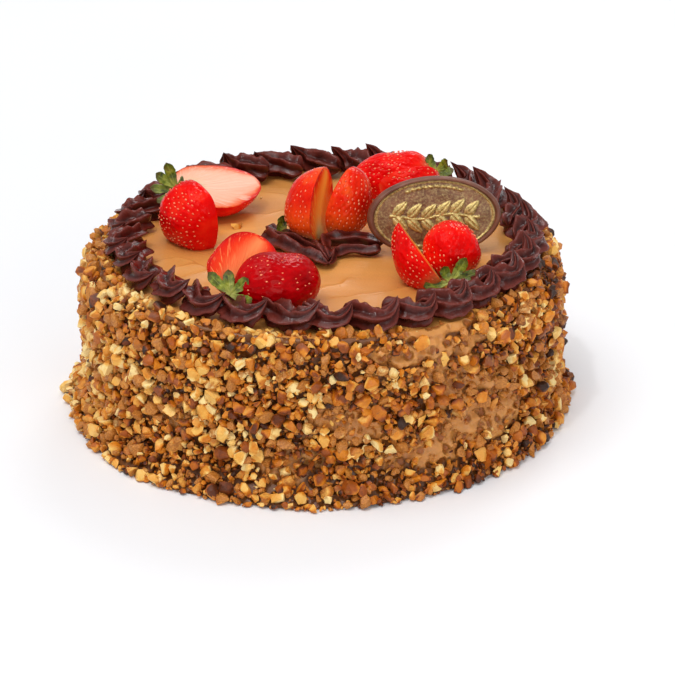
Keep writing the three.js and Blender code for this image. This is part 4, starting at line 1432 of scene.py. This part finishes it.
def standing_plaque(finish):
    """The plaque as rings from the middle of its back, round the edge, over the rim and into the
    field. The front's depth is a rim, a fine gold line and a sunken field with the ornament."""
    back = np.linspace(BACK_START, FLAT_SHARE, BACK_RINGS)
    turn_over = np.linspace(0, np.pi, EDGE_RINGS)[1:-1]
    edge = FLAT_SHARE + (1 - FLAT_SHARE) * np.sin(turn_over)
    front = np.linspace(*FRONT_SHARES, FRONT_RINGS)
    share = np.concatenate([back, edge, front])[:, None]
    around = np.linspace(0, 2 * np.pi, PLAQUE_COLUMNS, endpoint=False)[None, :]
    x = PLAQUE_HALF_WIDTH * share * np.cos(around)
    y = PLAQUE_HALF_HEIGHT * share * np.sin(around)
    half = PLAQUE_THICKNESS / 2
    profile = half - PLAQUE_FIELD_DEPTH * smoothstep(*RIM_SHARES, share)
    profile = profile + LINE_HEIGHT * np.exp(-((share - LINE_SHARE) / LINE_WIDTH) ** 2)
    ornament = sprig_relief(x, y) * smoothstep(*ORNAMENT_FADES, share)
    height = profile + ORNAMENT_HEIGHT * ornament
    front_from = len(back) + len(edge)
    height[:len(back)] = -half
    height[len(back):front_from] = -half * np.cos(turn_over)[:, None]
    lump, lump_size, seed = PLAQUE_LUMPS
    height += lump * waves(np.stack([x, y, np.zeros_like(x)], -1), lump_size, seed)
    field = smoothstep(*GOLD_FIELD_FADES, share) * np.ones_like(x)
    gold_line = np.exp(-((share - LINE_SHARE) / GOLD_LINE_WIDTH) ** 2)
    gold = GOLD_IN_FIELD * field + GOLD_ON_RELIEF * ornament + GOLD_ON_RELIEF * gold_line
    gold[:front_from] = 0
    rows, columns = x.shape
    middles = [[0, 0, -half], [0, 0, half - PLAQUE_FIELD_DEPTH]]
    local = np.concatenate([np.stack([x, y, height], -1).reshape(-1, 3), middles])
    tilted = Matrix.Rotation(PLAQUE_TURN, 3, "Z") @ Matrix.Rotation(math.pi / 2 - PLAQUE_LEAN, 3, "X")
    points = local @ np.array(tilted).T + PLAQUE_CENTRE
    faces = [grid_faces(rows, columns), end_fans(rows, columns, rows * columns, rows * columns + 1)]
    values = {"gold": np.append(gold, [0, 0.5])}
    plaque = make_piece("standing_plaque", points, faces, [finish], values)
    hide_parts("chocolate_plaque")


# Stage

def camera():
    """The camera looks at its target from the front, raised by its elevation and rolled a little."""
    elevation = math.radians(CAMERA_ELEVATION)
    back = Vector((0, -math.cos(elevation), math.sin(elevation)))
    right = Vector((1, 0, 0))
    up = back.cross(right)
    turn = Matrix((right, up, back)).transposed() @ Matrix.Rotation(math.radians(CAMERA_ROLL), 3, "Z")
    lens = bpy.data.cameras.new("camera")
    lens.lens = CAMERA_LENS
    lens.sensor_width = CAMERA_SENSOR
    lens.clip_start, lens.clip_end = CAMERA_CLIP
    place = (Vector(CAMERA_TARGET) + back * CAMERA_DISTANCE) * MM
    holder = bpy.data.objects.new("camera", lens)
    holder.matrix_world = Matrix.Translation(place) @ turn.to_4x4()
    bpy.context.scene.collection.objects.link(holder)
    bpy.context.scene.camera = holder


def soft_light(name, place, size, watts):
    lamp = bpy.data.lights.new(name, "AREA")
    lamp.size = size
    lamp.energy = watts
    holder = bpy.data.objects.new(name, lamp)
    holder.location = place
    holder.rotation_euler = (Vector(LAMP_TARGET) - Vector(place)).to_track_quat("-Z", "Y").to_euler()
    bpy.context.scene.collection.objects.link(holder)


def sunlight(name, way, strength, spread):
    lamp = bpy.data.lights.new(name, "SUN")
    lamp.energy = strength
    lamp.angle = math.radians(spread)
    holder = bpy.data.objects.new(name, lamp)
    holder.rotation_euler = Vector(way).to_track_quat("Z", "Y").to_euler()
    bpy.context.scene.collection.objects.link(holder)


def studio():
    """A pale floor, an even pale sky, suns and a soft lamp."""
    corners = np.array([[-1, -1, 0], [1, -1, 0], [1, 1, 0], [-1, 1, 0]]) * FLOOR_REACH
    finish = Finish("pale_floor", Roughness=0.6)
    colour = finish.ramp(finish.noise(400, 2), (0.3, linear(236, 236, 238)), (0.7, linear(240, 240, 242)))
    mesh = bpy.data.meshes.new("floor")
    mesh.from_pydata(corners.tolist(), [], [(0, 1, 2, 3)])
    mesh.materials.append(finish.feed(Base_Color=colour))
    floor = bpy.data.objects.new("floor", mesh)
    floor.location.z = -FLOOR_DROP
    bpy.context.scene.collection.objects.link(floor)
    world = bpy.data.worlds.new("studio")
    world.use_nodes = True
    sky = world.node_tree.nodes["Background"]
    sky.inputs["Color"].default_value = SKY_COLOUR
    sky.inputs["Strength"].default_value = SKY_STRENGTH
    bpy.context.scene.world = world
    bpy.context.scene.view_settings.view_transform = "Standard"
    for sun in SUNS:
        sunlight(*sun)
    soft_light(*SOFT_LAMP)


camera()
studio()
chocolate = piped_chocolate()
frosted_drum(caramel_frosting())
nut_crust(chopped_nut())
piped_border(chocolate)
middle_rope(chocolate)
berry_finishes = {"skin_" + look: strawberry_skin(look) for look in SKIN_COLOURS}
berry_finishes.update({"flesh_" + look: strawberry_flesh(look) for look in FLESH_COLOURS})
strawberries(berry_finishes, strawberry_seed())
leaf_green = strawberry_leaf()
for calyx in CALYXES:
    leaf_tuft(calyx, leaf_green)
standing_plaque(moulded_plaque())
